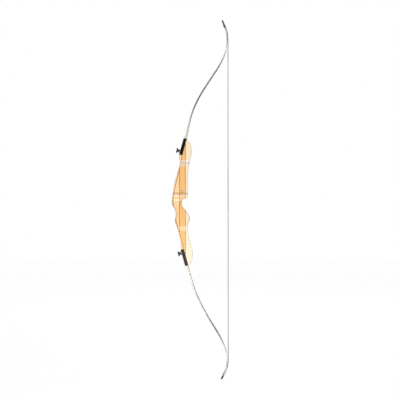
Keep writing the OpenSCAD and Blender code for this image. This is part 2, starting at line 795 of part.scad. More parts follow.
// The knob's profile as [radius, height]: its foot, its waist and its dished hand disc
disc_z = knob_h - knob_disc_t;
waist_h = disc_z - knob_foot_t;
disc_edge_r = knob_r - knob_bevel;
knob_profile = concat(
    [[0, 0], [knob_foot_r - knob_bevel, 0], [knob_foot_r, knob_bevel], [knob_foot_r, knob_foot_t]],
    [for (a = [0:18:90])
        [knob_foot_r - (knob_foot_r - knob_waist_r) * sin(a), knob_foot_t + waist_h * (1 - cos(a)) / 2]],
    [for (a = [18:18:72])
        [knob_waist_r + (disc_edge_r - 1 - knob_waist_r) * (1 - cos(a)), knob_foot_t + waist_h * (1 + sin(a)) / 2]],
    [[disc_edge_r, disc_z], [knob_r, disc_z + knob_bevel], [knob_r, knob_h - knob_bevel],
     [disc_edge_r, knob_h], [stud_r, knob_h - dish], [0, knob_h - dish]]
);
module knob(upper) {
    color(black_plastic)
        out_of_seat(upper, bolt_u)
            translate([0, 0, knob_foot_z])
                difference() {
                    rotate_extrude() polygon(knob_profile);
                    translate([0, 0, -1]) cylinder(r = stud_r, h = stud_in_knob + 1);
                    for (i = [0:knob_flutes - 1])
                        rotate([0, 0, 360 * i / knob_flutes])
                            translate([knob_r + flute_r - flute_depth, 0, disc_z - 1])
                                cylinder(r = flute_r, h = knob_disc_t + 2);
                }
}
module upper_washer() {
    washer(true);
}
module lower_washer() {
    washer(false);
}
module upper_stud() {
    stud(true);
}
module lower_stud() {
    stud(false);
}
module upper_knob() {
    knob(true);
}
module lower_knob() {
    knob(false);
}

// A round tube along points, whose rings are carried along without twist
tube_sides = 8;
function unit(v) = v / norm(v);
function tangent(p, i) = unit(p[min(i + 1, len(p) - 1)] - p[max(i - 1, 0)]);
function carried(b, t) = unit(b - (b * t) * t);
function tube_ring(c, t, b, r) =
    let (d = cross(t, b))
    [for (k = [0:tube_sides - 1]) let (a = 360 * (k + 0.5) / tube_sides) c + r * (cos(a) * b + sin(a) * d)];
module tube(p, r) {
    last = len(p) - 1;
    loft([
        for (i = 0, b = carried([0, 1, 0], tangent(p, 0)); i <= last;
             i = i + 1, b = carried(b, tangent(p, min(i, last))))
        tube_ring(p[i], tangent(p, i), b, r)
    ]);
}

// Where the belly face is upright and the string leaves the limb
function upright_s(upper, s0, s1, n = 0) =
    let (m = (s0 + s1) / 2)
    n > 20 ? m : limb_at(upper, m)[2] > 0 ? upright_s(upper, m, s1, n + 1) : upright_s(upper, s0, m, n + 1);
function contact_s(upper) = upright_s(upper, limb_len(upper) / 2, limb_len(upper) - nock_back);
function join_s(upper) = limb_len(upper) - nock_back - loop_len;
string_off = string_gap + string_r + serving_t;
winding_fit = 0.03;
// A point of the string on the limb, in the riser's frame
function in_riser(upper, p) =
    upper ? [upper_seat_x + p[0], 0, upper_seat_z + p[1]] : [lower_seat_x + p[0], 0, -lower_seat_z - p[1]];
function string_on_limb(upper, s) = in_riser(upper, beside(upper, s, half_t(upper, s) + string_off));
upper_contact = string_on_limb(true, contact_s(true));
lower_contact = string_on_limb(false, contact_s(false));
function string_mid(z) =
    upper_contact + (lower_contact - upper_contact) * (upper_contact[2] - z) / (upper_contact[2] - lower_contact[2]);
nocking = string_mid(plunger_z + nocking_z);
limb_rings = 7;
function rest_on_limb(upper) =
    let (s0 = join_s(upper), s1 = contact_s(upper))
    [for (i = [0:limb_rings]) string_on_limb(upper, s0 + (s1 - s0) * i / limb_rings)];
// The point of the straight stretch at a distance d from its contact with the limb
function down_string(upper, d) =
    let (c = upper ? upper_contact : lower_contact) c + unit(nocking - c) * d;
function straight_len(upper) = norm(nocking - (upper ? upper_contact : lower_contact));
function string_route(upper) =
    concat(rest_on_limb(upper), [for (i = [1:12]) down_string(upper, straight_len(upper) * i / 12)]);

module string_half(upper) {
    color(thread_grey) tube(string_route(upper), string_r);
}
// A serving is wound round the string, so its solid is a skin with the string's own shape as its bore
module end_serving(upper) {
    bent = rest_on_limb(upper);
    left = end_serving - (join_s(upper) - contact_s(upper));
    route = concat(bent, [down_string(upper, left / 2), down_string(upper, left)]);
    inner = concat([bent[0] + (bent[0] - bent[1]) * 0.3], bent,
        [down_string(upper, left / 2), down_string(upper, left + 2)]);
    color(thread_grey)
        difference() {
            tube(route, string_r + serving_t);
            tube(inner, string_r + winding_fit);
        }
}
// The centre serving is straight, a round skin on the string's own line
module along_string(upper, from_nocking) {
    c = upper ? upper_contact : lower_contact;
    d = unit(c - nocking);
    translate(nocking + d * from_nocking) rotate([0, atan2(d[0], d[2]), 0]) children();
}
module centre_serving_piece(upper) {
    color(black_plastic)
        along_string(upper, 0)
            difference() {
                cylinder(r = string_r + serving_t, h = centre_serving);
                translate([0, 0, -1]) cylinder(r = string_r + winding_fit, h = centre_serving + 2);
            }
}
// The loop at a tip: its eye goes through both nocks and round the back, and stays with the limb.
// Its two legs run down the belly to the string, and swing with the string.
loop_gap = 0.3;
strand_gap = 0.1;
function nock_s(upper) = limb_len(upper) - nock_back;
function eye_half_w(upper) =
    at(width_line(upper), limb_at(upper, nock_s(upper))[1]) + nock_rim - nock_r + loop_r + loop_gap;
function eye_belly(upper) = half_t(upper, nock_s(upper)) + loop_r + loop_gap;
function eye_back(upper) = half_t(upper, nock_s(upper)) + overlay_t + loop_r + loop_gap;
// A point by the nocks: t towards the tip, x towards the belly, y across
function by_nock(upper, t, x, y) =
    let (b = beside(upper, nock_s(upper) + t, x)) [b[0], y, b[1]];
eye_bend = 1.9;
// Each leg starts just clear of the eye, whose belly-side strand it turns about
leg_start = loop_r + string_gap;
function eye_route(upper) =
    let (
        w = eye_half_w(upper),
        f = eye_belly(upper),
        k = eye_back(upper),
        c = eye_bend,
        half = concat(
            [for (a = [0:30:90]) [f - c + c * cos(a), w - c + c * sin(a)]],
            [for (a = [0:30:90]) [-k + c - c * sin(a), w - c + c * cos(a)]],
            [[-k, w / 3]]
        )
    )
    [for (v = concat([for (v = half) [v[0], -v[1]]], reversed(half))) by_nock(upper, 0, v[0], v[1])];
function leg_route(upper, sign) =
    let (w = eye_half_w(upper) - eye_bend, low = loop_r + strand_gap / 2, off = loop_r + loop_gap)
    [for (i = [0:6])
        let (t = leg_start + (loop_len - leg_start) * i / 6, g = t / loop_len)
        by_nock(upper, -t, half_t(upper, nock_s(upper) - t) + off + (string_off - off) * g,
            sign * (w + (low - w) * g))];
module string_eye(upper) {
    color(thread_grey) at_limb(upper) tube(eye_route(upper), loop_r);
}
module string_legs(upper) {
    color(thread_grey) at_limb(upper) for (sign = [-1, 1]) tube(leg_route(upper, sign), loop_r);
}
module upper_string_eye() {
    string_eye(true);
}
module lower_string_eye() {
    string_eye(false);
}
module upper_string_legs() {
    string_legs(true);
}
module lower_string_legs() {
    string_legs(false);
}
module upper_string() {
    string_half(true);
}
module lower_string() {
    string_half(false);
}
module upper_end_serving() {
    end_serving(true);
}
module lower_end_serving() {
    end_serving(false);
}
module upper_centre_serving() {
    centre_serving_piece(true);
}
module lower_centre_serving() {
    centre_serving_piece(false);
}

riser_core();
upper_belly_block();
lower_belly_block();
upper_belly_veneer();
lower_belly_veneer();
back_block();
back_veneer();
upper_curved_veneer();
lower_curved_veneer();
upper_back_strip();
lower_back_strip();
plunger_bushing();
stabilizer_bushing();
sight_bushings();
upper_bolt_insert();
lower_bolt_insert();
upper_alignment_pin();
lower_alignment_pin();
upper_butt_core();
upper_butt_belly_glass();
upper_butt_back_glass();
upper_butt_wedge();
upper_butt_sleeve();
lower_butt_core();
lower_butt_belly_glass();
lower_butt_back_glass();
lower_butt_wedge();
lower_butt_sleeve();
upper_limb_core();
upper_limb_belly_glass();
upper_limb_back_glass();
upper_tip_overlay();
upper_string_eye();
lower_limb_core();
lower_limb_belly_glass();
lower_limb_back_glass();
lower_tip_overlay();
lower_string_eye();
upper_knob();
upper_stud();
upper_washer();
lower_knob();
lower_stud();
lower_washer();
upper_string();
upper_string_legs();
upper_end_serving();
upper_centre_serving();
lower_string();
lower_string_legs();
lower_end_serving();
lower_centre_serving();
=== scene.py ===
"""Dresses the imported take-down recurve bow: its laminated riser, limbs, fittings and served string."""

import math

import bpy
from bpy.props import FloatProperty, FloatVectorProperty, IntProperty, PointerProperty
from mathutils import Matrix, Vector


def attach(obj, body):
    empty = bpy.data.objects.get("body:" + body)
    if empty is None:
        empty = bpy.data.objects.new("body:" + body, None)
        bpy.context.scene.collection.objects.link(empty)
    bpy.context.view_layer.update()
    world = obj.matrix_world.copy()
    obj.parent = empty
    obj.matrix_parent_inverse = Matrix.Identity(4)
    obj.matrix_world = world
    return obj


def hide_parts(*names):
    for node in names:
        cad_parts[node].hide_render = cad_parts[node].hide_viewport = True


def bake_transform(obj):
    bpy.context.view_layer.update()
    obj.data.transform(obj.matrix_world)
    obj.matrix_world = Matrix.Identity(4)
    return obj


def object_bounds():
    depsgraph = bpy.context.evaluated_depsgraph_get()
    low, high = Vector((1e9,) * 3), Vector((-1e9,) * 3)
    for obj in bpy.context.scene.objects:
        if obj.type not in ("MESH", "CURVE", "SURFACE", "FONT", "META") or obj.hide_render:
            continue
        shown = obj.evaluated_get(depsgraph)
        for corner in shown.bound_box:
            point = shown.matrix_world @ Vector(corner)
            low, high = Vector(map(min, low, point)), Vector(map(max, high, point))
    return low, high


bl_info = {
    "name": "Recurve Bow",
    "version": (1, 0, 0),
    "blender": (4, 5, 0),
    "location": "View3D > Sidebar > Bow",
    "description": "Models the wood, limbs, fittings and string of a take-down recurve bow round its frame",
    "category": "Object",
}

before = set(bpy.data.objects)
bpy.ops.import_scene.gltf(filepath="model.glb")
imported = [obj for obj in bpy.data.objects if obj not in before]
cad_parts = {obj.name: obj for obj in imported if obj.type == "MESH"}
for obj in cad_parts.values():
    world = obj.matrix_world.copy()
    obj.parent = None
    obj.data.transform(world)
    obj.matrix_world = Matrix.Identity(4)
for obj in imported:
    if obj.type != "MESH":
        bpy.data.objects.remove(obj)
cad_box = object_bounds()

MM = 0.001
SIDES = ("upper", "lower")

# The bow's sizes, in millimetres

# Corner of each limb seat as (x, z), and which way its limb goes
SEATS = {"upper": (1.87, 215.88, 1), "lower": (8.77, -203.98, -1)}
SEAT_ANGLE = math.radians(15.4)
SEAT_LENGTH = 76.0
HORN_LENGTH = 3.0
RISER_HALF_WIDTH = 22.0
PLUNGER_X, PLUNGER_Z = 3.2, 54.0
SHELF_Z = 42.0
WINDOW_FACE = 3.5
WINDOW_Z = 166.0
WINDOW_RAMP = 29.0
STABILIZER_Z = -106.0
SIGHT_HEIGHTS = (94.0, 127.3)

LIMB_THICK, TIP_THICK, GLASS_THICK = 5.4, 3.8, 1.1
WEDGE_THICK, WEDGE_LENGTH = 6.8, 112.0
ROOT_LENGTH = 130.0
OVERLAY_THICK, OVERLAY_LENGTH, OVERLAY_RAMP = 2.4, 44.0, 16.0
# Thickness of the thin ends of wedge and overlay, and how hollow the wedge's slope is
FEATHER, WEDGE_CURVE = 0.4, 0.35
# The limb ends this much within the bow's height
TIP_TRIM = 0.05
SLEEVE_THICK, SLEEVE_ROUND = 0.8, 1.2
SLEEVE_DEPTH = 2 * SLEEVE_THICK + LIMB_THICK + WEDGE_THICK
NOCK_BACK, NOCK_RADIUS, NOCK_RIM = 27.0, 2.2, 0.4
TIP_CAP, TIP_ROUND = 12.0, 5.4
# Half of a limb's width: by the riser, in its middle and recurve, at the neck, at the nocks and at its end
LIMB_HALF_WIDTH, MIDDLE_HALF_WIDTH, RECURVE_HALF_WIDTH = 21.2, 18.5, 10.5
NECK_HALF_WIDTH, NOCK_HALF_WIDTH, END_HALF_WIDTH = 8.05, 7.25, 6.65
NECK_BACK = 50.0
BLACK_TIP = {"upper": 38.0, "lower": 22.0}
BOLT_U, PIN_U = 16.5, 56.0
BOLT_HOLE, PIN_HOLE, PIN_HOLE_DEPTH = 4.35, 3.1, 4.5
INSERT_RADIUS, INSERT_LENGTH, PIN_RADIUS, PIN_LENGTH = 6.0, 16.0, 3.0, 12.0
PLUNGER_RADIUS, SIGHT_RADIUS, STABILIZER_RADIUS, STABILIZER_SEAT = 5.6, 3.6, 6.5, 9.5
PLUNGER_LENGTH, SIGHT_LENGTH, STABILIZER_LENGTH = 18.5, 12.0, 20.0
STABILIZER_FLOOR, STABILIZER_RIM = 2.0, 1.5
PLUNGER_BORE, SIGHT_BORE, BUSHING_PITCH, BUSHING_RIDGE = 3.45, 1.9, 1.06, 0.45
KNOB_FOOT, KNOB_WAIST, KNOB_DISC_Z, KNOB_HEIGHT = 8.5, 5.6, 10.0, 15.5
KNOB_SOCKET, FLUTE_RADIUS = 3.95, 2.0
STUD_RADIUS, STUD_ROOT, STUD_PITCH, STUD_GRIP = 3.95, 3.3, 1.25, 13.5
WASHER_THICK, WASHER_RADIUS, WASHER_HOLE = 1.5, 9.5, 4.0

STRING_RADIUS, SERVING_THICK, STRING_GAP = 1.3, 0.3, 0.3
LOOP_RADIUS, LOOP_LENGTH, EYE_BEND = 0.95, 26.0, 1.9
END_SERVING, CENTRE_SERVING = 120.0, 90.0
# Points along each leg of a loop, from where its strands join to the nock
LEG_POINTS = 14
# Distances from the nocks, along the limb, of two points beside the loop's eye
EYE_STAYS, EYE_SWINGS = 0.3, -4.0
STRING_STEP = 3.0
STRAND_GROOVE = 0.12
SERVING_FIT = 0.96
# The end serving starts at the first share of its size, and grows by the second at each point
TAPER_START, TAPER_STEP = 0.76, 0.025
# A thread's size between two of its turns
THREAD_VALLEY = 0.88
# The upper centre serving ends in a dome inside the lower one: its rings' angles, and its share of the radius
DOME_RINGS = {"upper": (0.01, 0.3, 0.6, 0.9, 1.2), "lower": ()}
DOME_SIZE = 0.86
NOCKING_Z = 60.0

# The stage, in metres: each lamp's name, place, size and watts
LAMPS = (
    ("high_front", (-0.35, -2.9, 1.5), (1.9, 0.95), 41),
    ("low_front", (0.1, -1.15, -0.68), (1.3, 0.5), 17.5),
    ("behind", (0.5, 3.0, 1.4), (2.2, 1.6), 52),
)
LAMPS_AIM = (0.05, 0, 0.05)
FLOOR_SIZE, FLOOR_GAP = 14, 0.0015
FLOOR_GREYS = (0.045, 0.055)
SENSOR_WIDTH = 36

# What follows from the sizes

UPPER_X, UPPER_Z, _ = SEATS["upper"]
LOWER_X, LOWER_Z, _ = SEATS["lower"]
SEAT_REACH = SEAT_LENGTH * math.cos(SEAT_ANGLE) + HORN_LENGTH
UPPER_END_Z = UPPER_Z + SEAT_REACH
LOWER_END_Z = LOWER_Z - SEAT_REACH
LEDGE_RISE = SLEEVE_DEPTH * math.sin(SEAT_ANGLE)
UPPER_BACK_X = UPPER_X - SLEEVE_DEPTH * math.cos(SEAT_ANGLE)
LOWER_BACK_X = LOWER_X - SLEEVE_DEPTH * math.cos(SEAT_ANGLE)

# Outlines of the riser as (height, value), from the lower end up
BACK_LINE = [
    (LOWER_END_Z, LOWER_BACK_X), (LOWER_Z - LEDGE_RISE, LOWER_BACK_X), (-188, -3.4), (-165, -6.7),
    (-138, -11.7), (-120, -17.5), (-102, -23.4), (-89, -28.8), (-80, -31.5), (-66, -29.2), (-57, -27.2),
    (-44, -26.5), (-30, -30.1), (-21, -34.6), (-12, -40), (-1, -44.5), (17, -44.3), (37, -42.3),
    (60, -39.1), (96, -32.4), (132, -22), (168, -12.1), (181, -8.7), (195, -10),
    (UPPER_Z + LEDGE_RISE, UPPER_BACK_X), (UPPER_END_Z, UPPER_BACK_X),
]
BELLY_LINE = [
    (LOWER_END_Z, 33.1), (-268.8, 39.6), (-254.8, 46), (-232.8, 49.6), (-208.8, 46.9), (-188, 41.9),
    (-165, 34.7), (-147, 31.6), (-120, 27.1), (-98, 28.4), (-85.5, 30.7), (-74, 36.1), (-67.5, 37),
    (-54, 32.9), (-40.5, 27.1), (-26.5, 17.2), (-18, 9.1), (-9, 2.7), (0, 0), (9, 0.5), (16, 4.6),
    (22.5, 16.2), (30, 26.8), (37, 27.8), (60, 28.4), (82, 28), (127, 28.4), (159, 31.6), (177, 35.2),
    (195, 38.7), (216.7, 42.8), (239.7, 45.5), (257.7, 43.7), (270.7, 39.2), (284.7, 28.7),
    (UPPER_END_Z, 23.8),
]
LEFT_LINE = [
    (LOWER_END_Z, -RISER_HALF_WIDTH), (-128, -RISER_HALF_WIDTH), (-98, -15), (-6, -15), (9, -15.5),
    (22, -18.5), (31, -17.5), (39, -14), (41.3, -9), (SHELF_Z, WINDOW_FACE), (WINDOW_Z, WINDOW_FACE),
    (WINDOW_Z + WINDOW_RAMP, -RISER_HALF_WIDTH), (UPPER_END_Z, -RISER_HALF_WIDTH),
]
RIGHT_LINE = [
    (LOWER_END_Z, RISER_HALF_WIDTH), (-128, RISER_HALF_WIDTH), (-98, 15), (4, 15), (20, 17.5),
    (SHELF_Z, 20.5), (69, RISER_HALF_WIDTH), (UPPER_END_Z, RISER_HALF_WIDTH),
]
ROUND_LINE = [
    (LOWER_END_Z, 4), (-131, 4), (-96, 11), (-76, 12.5), (-6, 12.5), (14, 10.5), (SHELF_Z, 4),
    (UPPER_END_Z, 4),
]
CURVED_VENEER = 2.4
STRAIGHT_VENEER = 2.3
STRIP_SPLIT_Z = -41.0
# How deep the curved veneer lies in a seat, and how far the core's veneers lie from the plunger hole's line
VENEER_INSET, CORE_BACK, CORE_BELLY = 0.4, 13.0, 14.0
BACK_FACE_X = PLUNGER_X - CORE_BACK - STRAIGHT_VENEER / 2
BELLY_FACE_X = PLUNGER_X + CORE_BELLY + STRAIGHT_VENEER / 2
# Farther from the middle than any face of the riser
BEYOND = 90.0


def veneer_on_seat(side, beyond):
    """A row of the curved veneer's line where it runs along a limb's seat, beyond the seat's corner."""
    x, z, out = SEATS[side]
    return z + out * beyond, x + CURVED_VENEER / 2 - VENEER_INSET + beyond * math.tan(SEAT_ANGLE)


CURVE_LINE = [
    veneer_on_seat("lower", SEAT_REACH + 10), veneer_on_seat("lower", 4), veneer_on_seat("lower", 0),
    (-170, 1.4), (-138, -7.6), (-107, -16.6), (-80, -24.3), (-36, -33.8), (9, -38.3), (55, -33.3),
    (91, -25.6), (139, -14.4), (177, -5.4),
    veneer_on_seat("upper", 0), veneer_on_seat("upper", 4), veneer_on_seat("upper", SEAT_REACH + 10),
]

# A limb's centre line as (part of its length, turn in degrees), the turn positive towards the archer
BENDS = {
    "upper": (583.0, [(20, -3.5), (60, 0.5), (80, 12.3), (90, 8.6), (90, 0.5), (45, -5.5), (70, -17.5),
                      (90, -28), (38, -5)]),
    "lower": (560.0, [(70, 0), (70, 8.2), (80, 5.2), (70, 3.6), (40, -1), (50, -6), (45, -8.5), (75, -31),
                      (60, -15)]),
}


def value_at(rows, z):
    """A smooth curve without overshoot through rows of (height, value)."""
    last = len(rows) - 1
    i = 0
    while i < last - 1 and z >= rows[i + 1][0]:
        i += 1

    def secant(k):
        return (rows[k + 1][1] - rows[k][1]) / (rows[k + 1][0] - rows[k][0])

    def slope(k):
        if k == 0 or k == last:
            return secant(min(k, last - 1))
        a, b = secant(k - 1), secant(k)
        return 0 if a * b <= 0 else 2 * a * b / (a + b)

    h = rows[i + 1][0] - rows[i][0]
    t = max(0.0, min(1.0, (z - rows[i][0]) / h))
    u = 1 - t
    return (rows[i][1] * (1 + 2 * t) * u * u + slope(i) * h * t * u * u
            + rows[i + 1][1] * t * t * (3 - 2 * t) - slope(i + 1) * h * t * t * u)


def spaced(low, high, count):
    """Evenly spaced values from low to high, both included."""
    return [low + (high - low) * i / (count - 1) for i in range(count)]


class Limb:
    """One limb's line, in millimetres from its seat corner: z outward, x towards the archer."""

    def __init__(self, side):
        self.side = side
        self.seat_x, self.seat_z, self.out = SEATS[side]
        self.length, bends = BENDS[side]
        parts = sum(b[0] for b in bends)
        self.arcs = [(b[0] * self.length / parts, math.radians(b[1])) for b in bends]
        inset = SLEEVE_THICK + LIMB_THICK / 2
        self.start = (-inset * math.cos(SEAT_ANGLE), inset * math.sin(SEAT_ANGLE))
        self.tip_z = self.at(self.length)[1]
        self.width_rows = [
            (0, LIMB_HALF_WIDTH), (0.3 * self.tip_z, LIMB_HALF_WIDTH), (0.6 * self.tip_z, MIDDLE_HALF_WIDTH),
            (0.85 * self.tip_z, RECURVE_HALF_WIDTH), (self.tip_z - NECK_BACK, NECK_HALF_WIDTH),
            (self.tip_z - NOCK_BACK, NOCK_HALF_WIDTH), (self.tip_z - TIP_CAP, END_HALF_WIDTH),
        ]
        self.nock_s = self.length - NOCK_BACK
        self.join_s = self.nock_s - LOOP_LENGTH
        low, high = self.length / 2, self.nock_s
        for _ in range(40):
            middle = (low + high) / 2
            low, high = (middle, high) if self.at(middle)[2] > 0 else (low, middle)
        self.contact_s = low

    @staticmethod
    def step(length, turn, heading):
        half = turn / 2
        chord = length if abs(half) < 1e-5 else length * math.sin(half) / half
        return chord * math.sin(heading + half), chord * math.cos(heading + half)

    def at(self, s):
        """Place and heading of the centre line at a distance s from the sleeve's end."""
        dx, dz = self.step(SEAT_LENGTH + min(s, 0), 0, SEAT_ANGLE)
        x, z, heading = self.start[0] + dx, self.start[1] + dz, SEAT_ANGLE
        for length, turn in self.arcs:
            if s <= 0:
                break
            part = min(s, length)
            if (length, turn) == self.arcs[-1]:
                part = s
            dx, dz = self.step(part, turn * part / length, heading)
            x, z, heading = x + dx, z + dz, heading + turn * part / length
            s -= part
        return x, z, heading

    def beside(self, s, offset):
        """The point at an offset from the centre line towards the belly."""
        x, z, heading = self.at(s)
        return x + offset * math.cos(heading), z - offset * math.sin(heading)

    def half_thick(self, s):
        if s <= 0:
            return LIMB_THICK / 2
        return (LIMB_THICK + (TIP_THICK - LIMB_THICK) * s / self.length) / 2

    def half_width(self, z):
        if z <= self.tip_z - TIP_CAP:
            return value_at(self.width_rows, z)
        rise = min(1.0, (z - self.tip_z + TIP_CAP) / (TIP_CAP - 1))
        return END_HALF_WIDTH - TIP_ROUND * (1 - math.sqrt(1 - rise * rise))

    def to_riser(self, x, y, z):
        """A point in metres in the riser's frame."""
        return Vector(((self.seat_x + x) * MM, y * MM, (self.seat_z + self.out * z) * MM))

    def on_line(self, s, offset, y=0):
        """The point beside the centre line in the riser's frame, at y across the limb."""
        x, z = self.beside(s, offset)
        return self.to_riser(x, y, z)

    def out_of_seat(self, u):
        """The frame whose z axis points straight out of the seat, at a distance u along it."""
        along = Vector((math.sin(SEAT_ANGLE), 0, self.out * math.cos(SEAT_ANGLE)))
        away = Vector((-math.cos(SEAT_ANGLE), 0, self.out * math.sin(SEAT_ANGLE)))
        across = Vector((0, 1, 0))
        matrix = Matrix((across.cross(away), across, away)).transposed().to_4x4()
        matrix.translation = Vector((self.seat_x, 0, self.seat_z)) * MM + along * u * MM
        return matrix


LIMBS = {side: Limb(side) for side in SIDES}


# Modelling helpers

def deselect():
    if bpy.context.object and bpy.context.object.mode != "OBJECT":
        bpy.ops.object.mode_set(mode="OBJECT")
    bpy.ops.object.select_all(action="DESELECT")


def choose(*objects):
    """Selects the objects, and makes the last one active."""
    deselect()
    for obj in objects:
        obj.select_set(True)
    bpy.context.view_layer.objects.active = objects[-1]


def named(name):
    """The object that an operator has just added, under its own name."""
    obj = bpy.context.object
    obj.name = name
    obj.data.name = name
    return obj


def edit(obj, *steps):
    """Runs steps in edit mode on the whole mesh."""
    choose(obj)
    bpy.ops.object.mode_set(mode="EDIT")
    for step in steps:
        bpy.ops.mesh.select_all(action="SELECT")
        step()
    bpy.ops.object.mode_set(mode="OBJECT")


def apply_modifier(obj, kind, **settings):
    choose(obj)
    bpy.ops.object.modifier_add(type=kind)
    modifier = obj.modifiers[-1]
    for key, value in settings.items():
        setattr(modifier, key, value)
    bpy.ops.object.modifier_apply(modifier=modifier.name)


def remove(*objects):
    for obj in objects:
        bpy.data.objects.remove(obj, do_unlink=True)


def carve(obj, tool, operation="DIFFERENCE"):
    """Cuts obj with a tool's shape, or keeps only what lies in it."""
    apply_modifier(obj, "BOOLEAN", object=tool, operation=operation, solver="EXACT")
    remove(tool)


def duplicate(obj, name):
    choose(obj)
    bpy.ops.object.duplicate()
    return named(name)


def join(name, *objects):
    choose(*objects)
    bpy.ops.object.join()
    return named(name)


def outward(obj):
    edit(obj, lambda: bpy.ops.mesh.remove_doubles(threshold=1e-6),
         lambda: bpy.ops.mesh.normals_make_consistent(inside=False))
    return obj


def smooth(obj, degrees=32):
    choose(obj)
    bpy.ops.object.shade_smooth_by_angle(angle=math.radians(degrees))
    return obj


def put(obj, matrix):
    """Moves the mesh itself, so that its object stays at the origin."""
    obj.data.transform(matrix)
    obj.matrix_world = Matrix.Identity(4)
    return obj


def shift(x, y, z):
    """A move by millimetres."""
    return Matrix.Translation((x * MM, y * MM, z * MM))


def box(name, x, y, z):
    """A box about the origin, in millimetres."""
    deselect()
    bpy.ops.mesh.primitive_cube_add(size=1)
    return put(named(name), Matrix.Diagonal((x * MM, y * MM, z * MM, 1)))


def wrapped(name, rings):
    """A grid rolled up into a closed body: each of its rows becomes one ring of points, in metres."""
    columns, rows = len(rings[0]), len(rings) - 1
    deselect()
    bpy.ops.mesh.primitive_grid_add(x_subdivisions=columns, y_subdivisions=rows, size=1)
    obj = named(name)
    for vertex in obj.data.vertices:
        column = round((vertex.co.x + 0.5) * columns) % columns
        row = round((vertex.co.y + 0.5) * rows)
        vertex.co = rings[row][column]
    edit(obj, lambda: bpy.ops.mesh.remove_doubles(threshold=1e-7))
    choose(obj)
    bpy.ops.object.mode_set(mode="EDIT")
    bpy.ops.mesh.select_mode(type="EDGE")
    bpy.ops.mesh.select_all(action="DESELECT")
    bpy.ops.mesh.select_non_manifold()
    bpy.ops.mesh.fill_holes(sides=0)
    bpy.ops.mesh.select_mode(type="VERT")
    bpy.ops.mesh.select_all(action="SELECT")
    bpy.ops.mesh.normals_make_consistent(inside=False)
    bpy.ops.object.mode_set(mode="OBJECT")
    return obj


def side_board(name, outline, y_low, y_high):
    """A board with a side outline of (x, z) points, all in millimetres, cut through from y_low to y_high."""
    deselect()
    bpy.ops.mesh.primitive_circle_add(vertices=len(outline), radius=1, fill_type="NGON")
    obj = named(name)
    for vertex, (x, z) in zip(obj.data.vertices, outline):
        vertex.co = (x * MM, y_low * MM, z * MM)
    edit(obj,
         lambda: bpy.ops.mesh.extrude_region_move(
             TRANSFORM_OT_translate={"value": (0, (y_high - y_low) * MM, 0)}),
         lambda: bpy.ops.mesh.normals_make_consistent(inside=False))
    return obj


def turned(name, profile, segments=48, ring=False):
    """A body turned about z through a profile of (radius, height) in millimetres. A ring closes on itself."""
    deselect()
    radius, height = profile[0]
    bpy.ops.mesh.primitive_circle_add(
        vertices=segments, radius=radius * MM, fill_type="NOTHING" if ring else "NGON",
        location=(0, 0, height * MM))
    obj = named(name)
    bpy.ops.object.transform_apply(location=True, rotation=True, scale=True)
    bpy.ops.object.mode_set(mode="EDIT")
    bpy.ops.mesh.select_all(action="SELECT")
    for next_radius, next_height in (profile[1:] + profile[:1] if ring else profile[1:]):
        bpy.ops.mesh.extrude_region_move(
            TRANSFORM_OT_translate={"value": (0, 0, (next_height - height) * MM)})
        grow = next_radius / radius
        bpy.ops.transform.resize(value=(grow, grow, 1), center_override=(0, 0, next_height * MM))
        radius, height = next_radius, next_height
    bpy.ops.object.mode_set(mode="OBJECT")
    return outward(obj)


def drill(name, radius, start, end, vertices=48):
    """A round tool from start to end, in metres."""
    start, end = Vector(start), Vector(end)
    deselect()
    bpy.ops.mesh.primitive_cylinder_add(vertices=vertices, radius=radius * MM,
                                        depth=(end - start).length)
    obj = named(name)
    turn = Vector((0, 0, 1)).rotation_difference(end - start).to_matrix().to_4x4()
    turn.translation = (start + end) / 2
    return put(obj, turn)


def coat(obj, material):
    obj.data.materials.clear()
    obj.data.materials.append(material)
    return obj


def keep_rest(obj):
    """Stores each point's place, so that the pattern stays on a piece that bends."""
    attribute = obj.data.attributes.new("rest_place", "FLOAT_VECTOR", "POINT")
    for item, vertex in zip(attribute.data, obj.data.vertices):
        item.vector = vertex.co
    return obj


# Shader helpers

def linear(red, green, blue):
    """A colour given as 0 to 255 on the screen."""
    def one(c):
        c /= 255
        return c / 12.92 if c <= 0.04045 else ((c + 0.055) / 1.055) ** 2.4
    return one(red), one(green), one(blue)


class Value:
    """A number in a node tree, so that sums are written as sums."""

    def __init__(self, owner, socket):
        self.owner, self.socket = owner, socket

    def math(self, operation, *others):
        return self.owner.node("Math", {"operation": operation}, self, *others)

    def __add__(self, other):
        return self.math("ADD", other)

    def __mul__(self, other):
        return self.math("MULTIPLY", other)

    def __sub__(self, other):
        return self.math("SUBTRACT", other)

    def __pow__(self, other):
        return self.math("POWER", other)

    def __rsub__(self, other):
        return self.owner.node("Math", {"operation": "SUBTRACT"}, other, self)

    __radd__ = __add__

    def sine(self):
        return self.math("SINE")

    def above(self, edge, soft):
        """0 below the edge and 1 above it, over a soft step."""
        return self.owner.node("MapRange", {"interpolation_type": "SMOOTHSTEP"},
                                self, edge - soft, edge + soft, 0.0, 1.0)


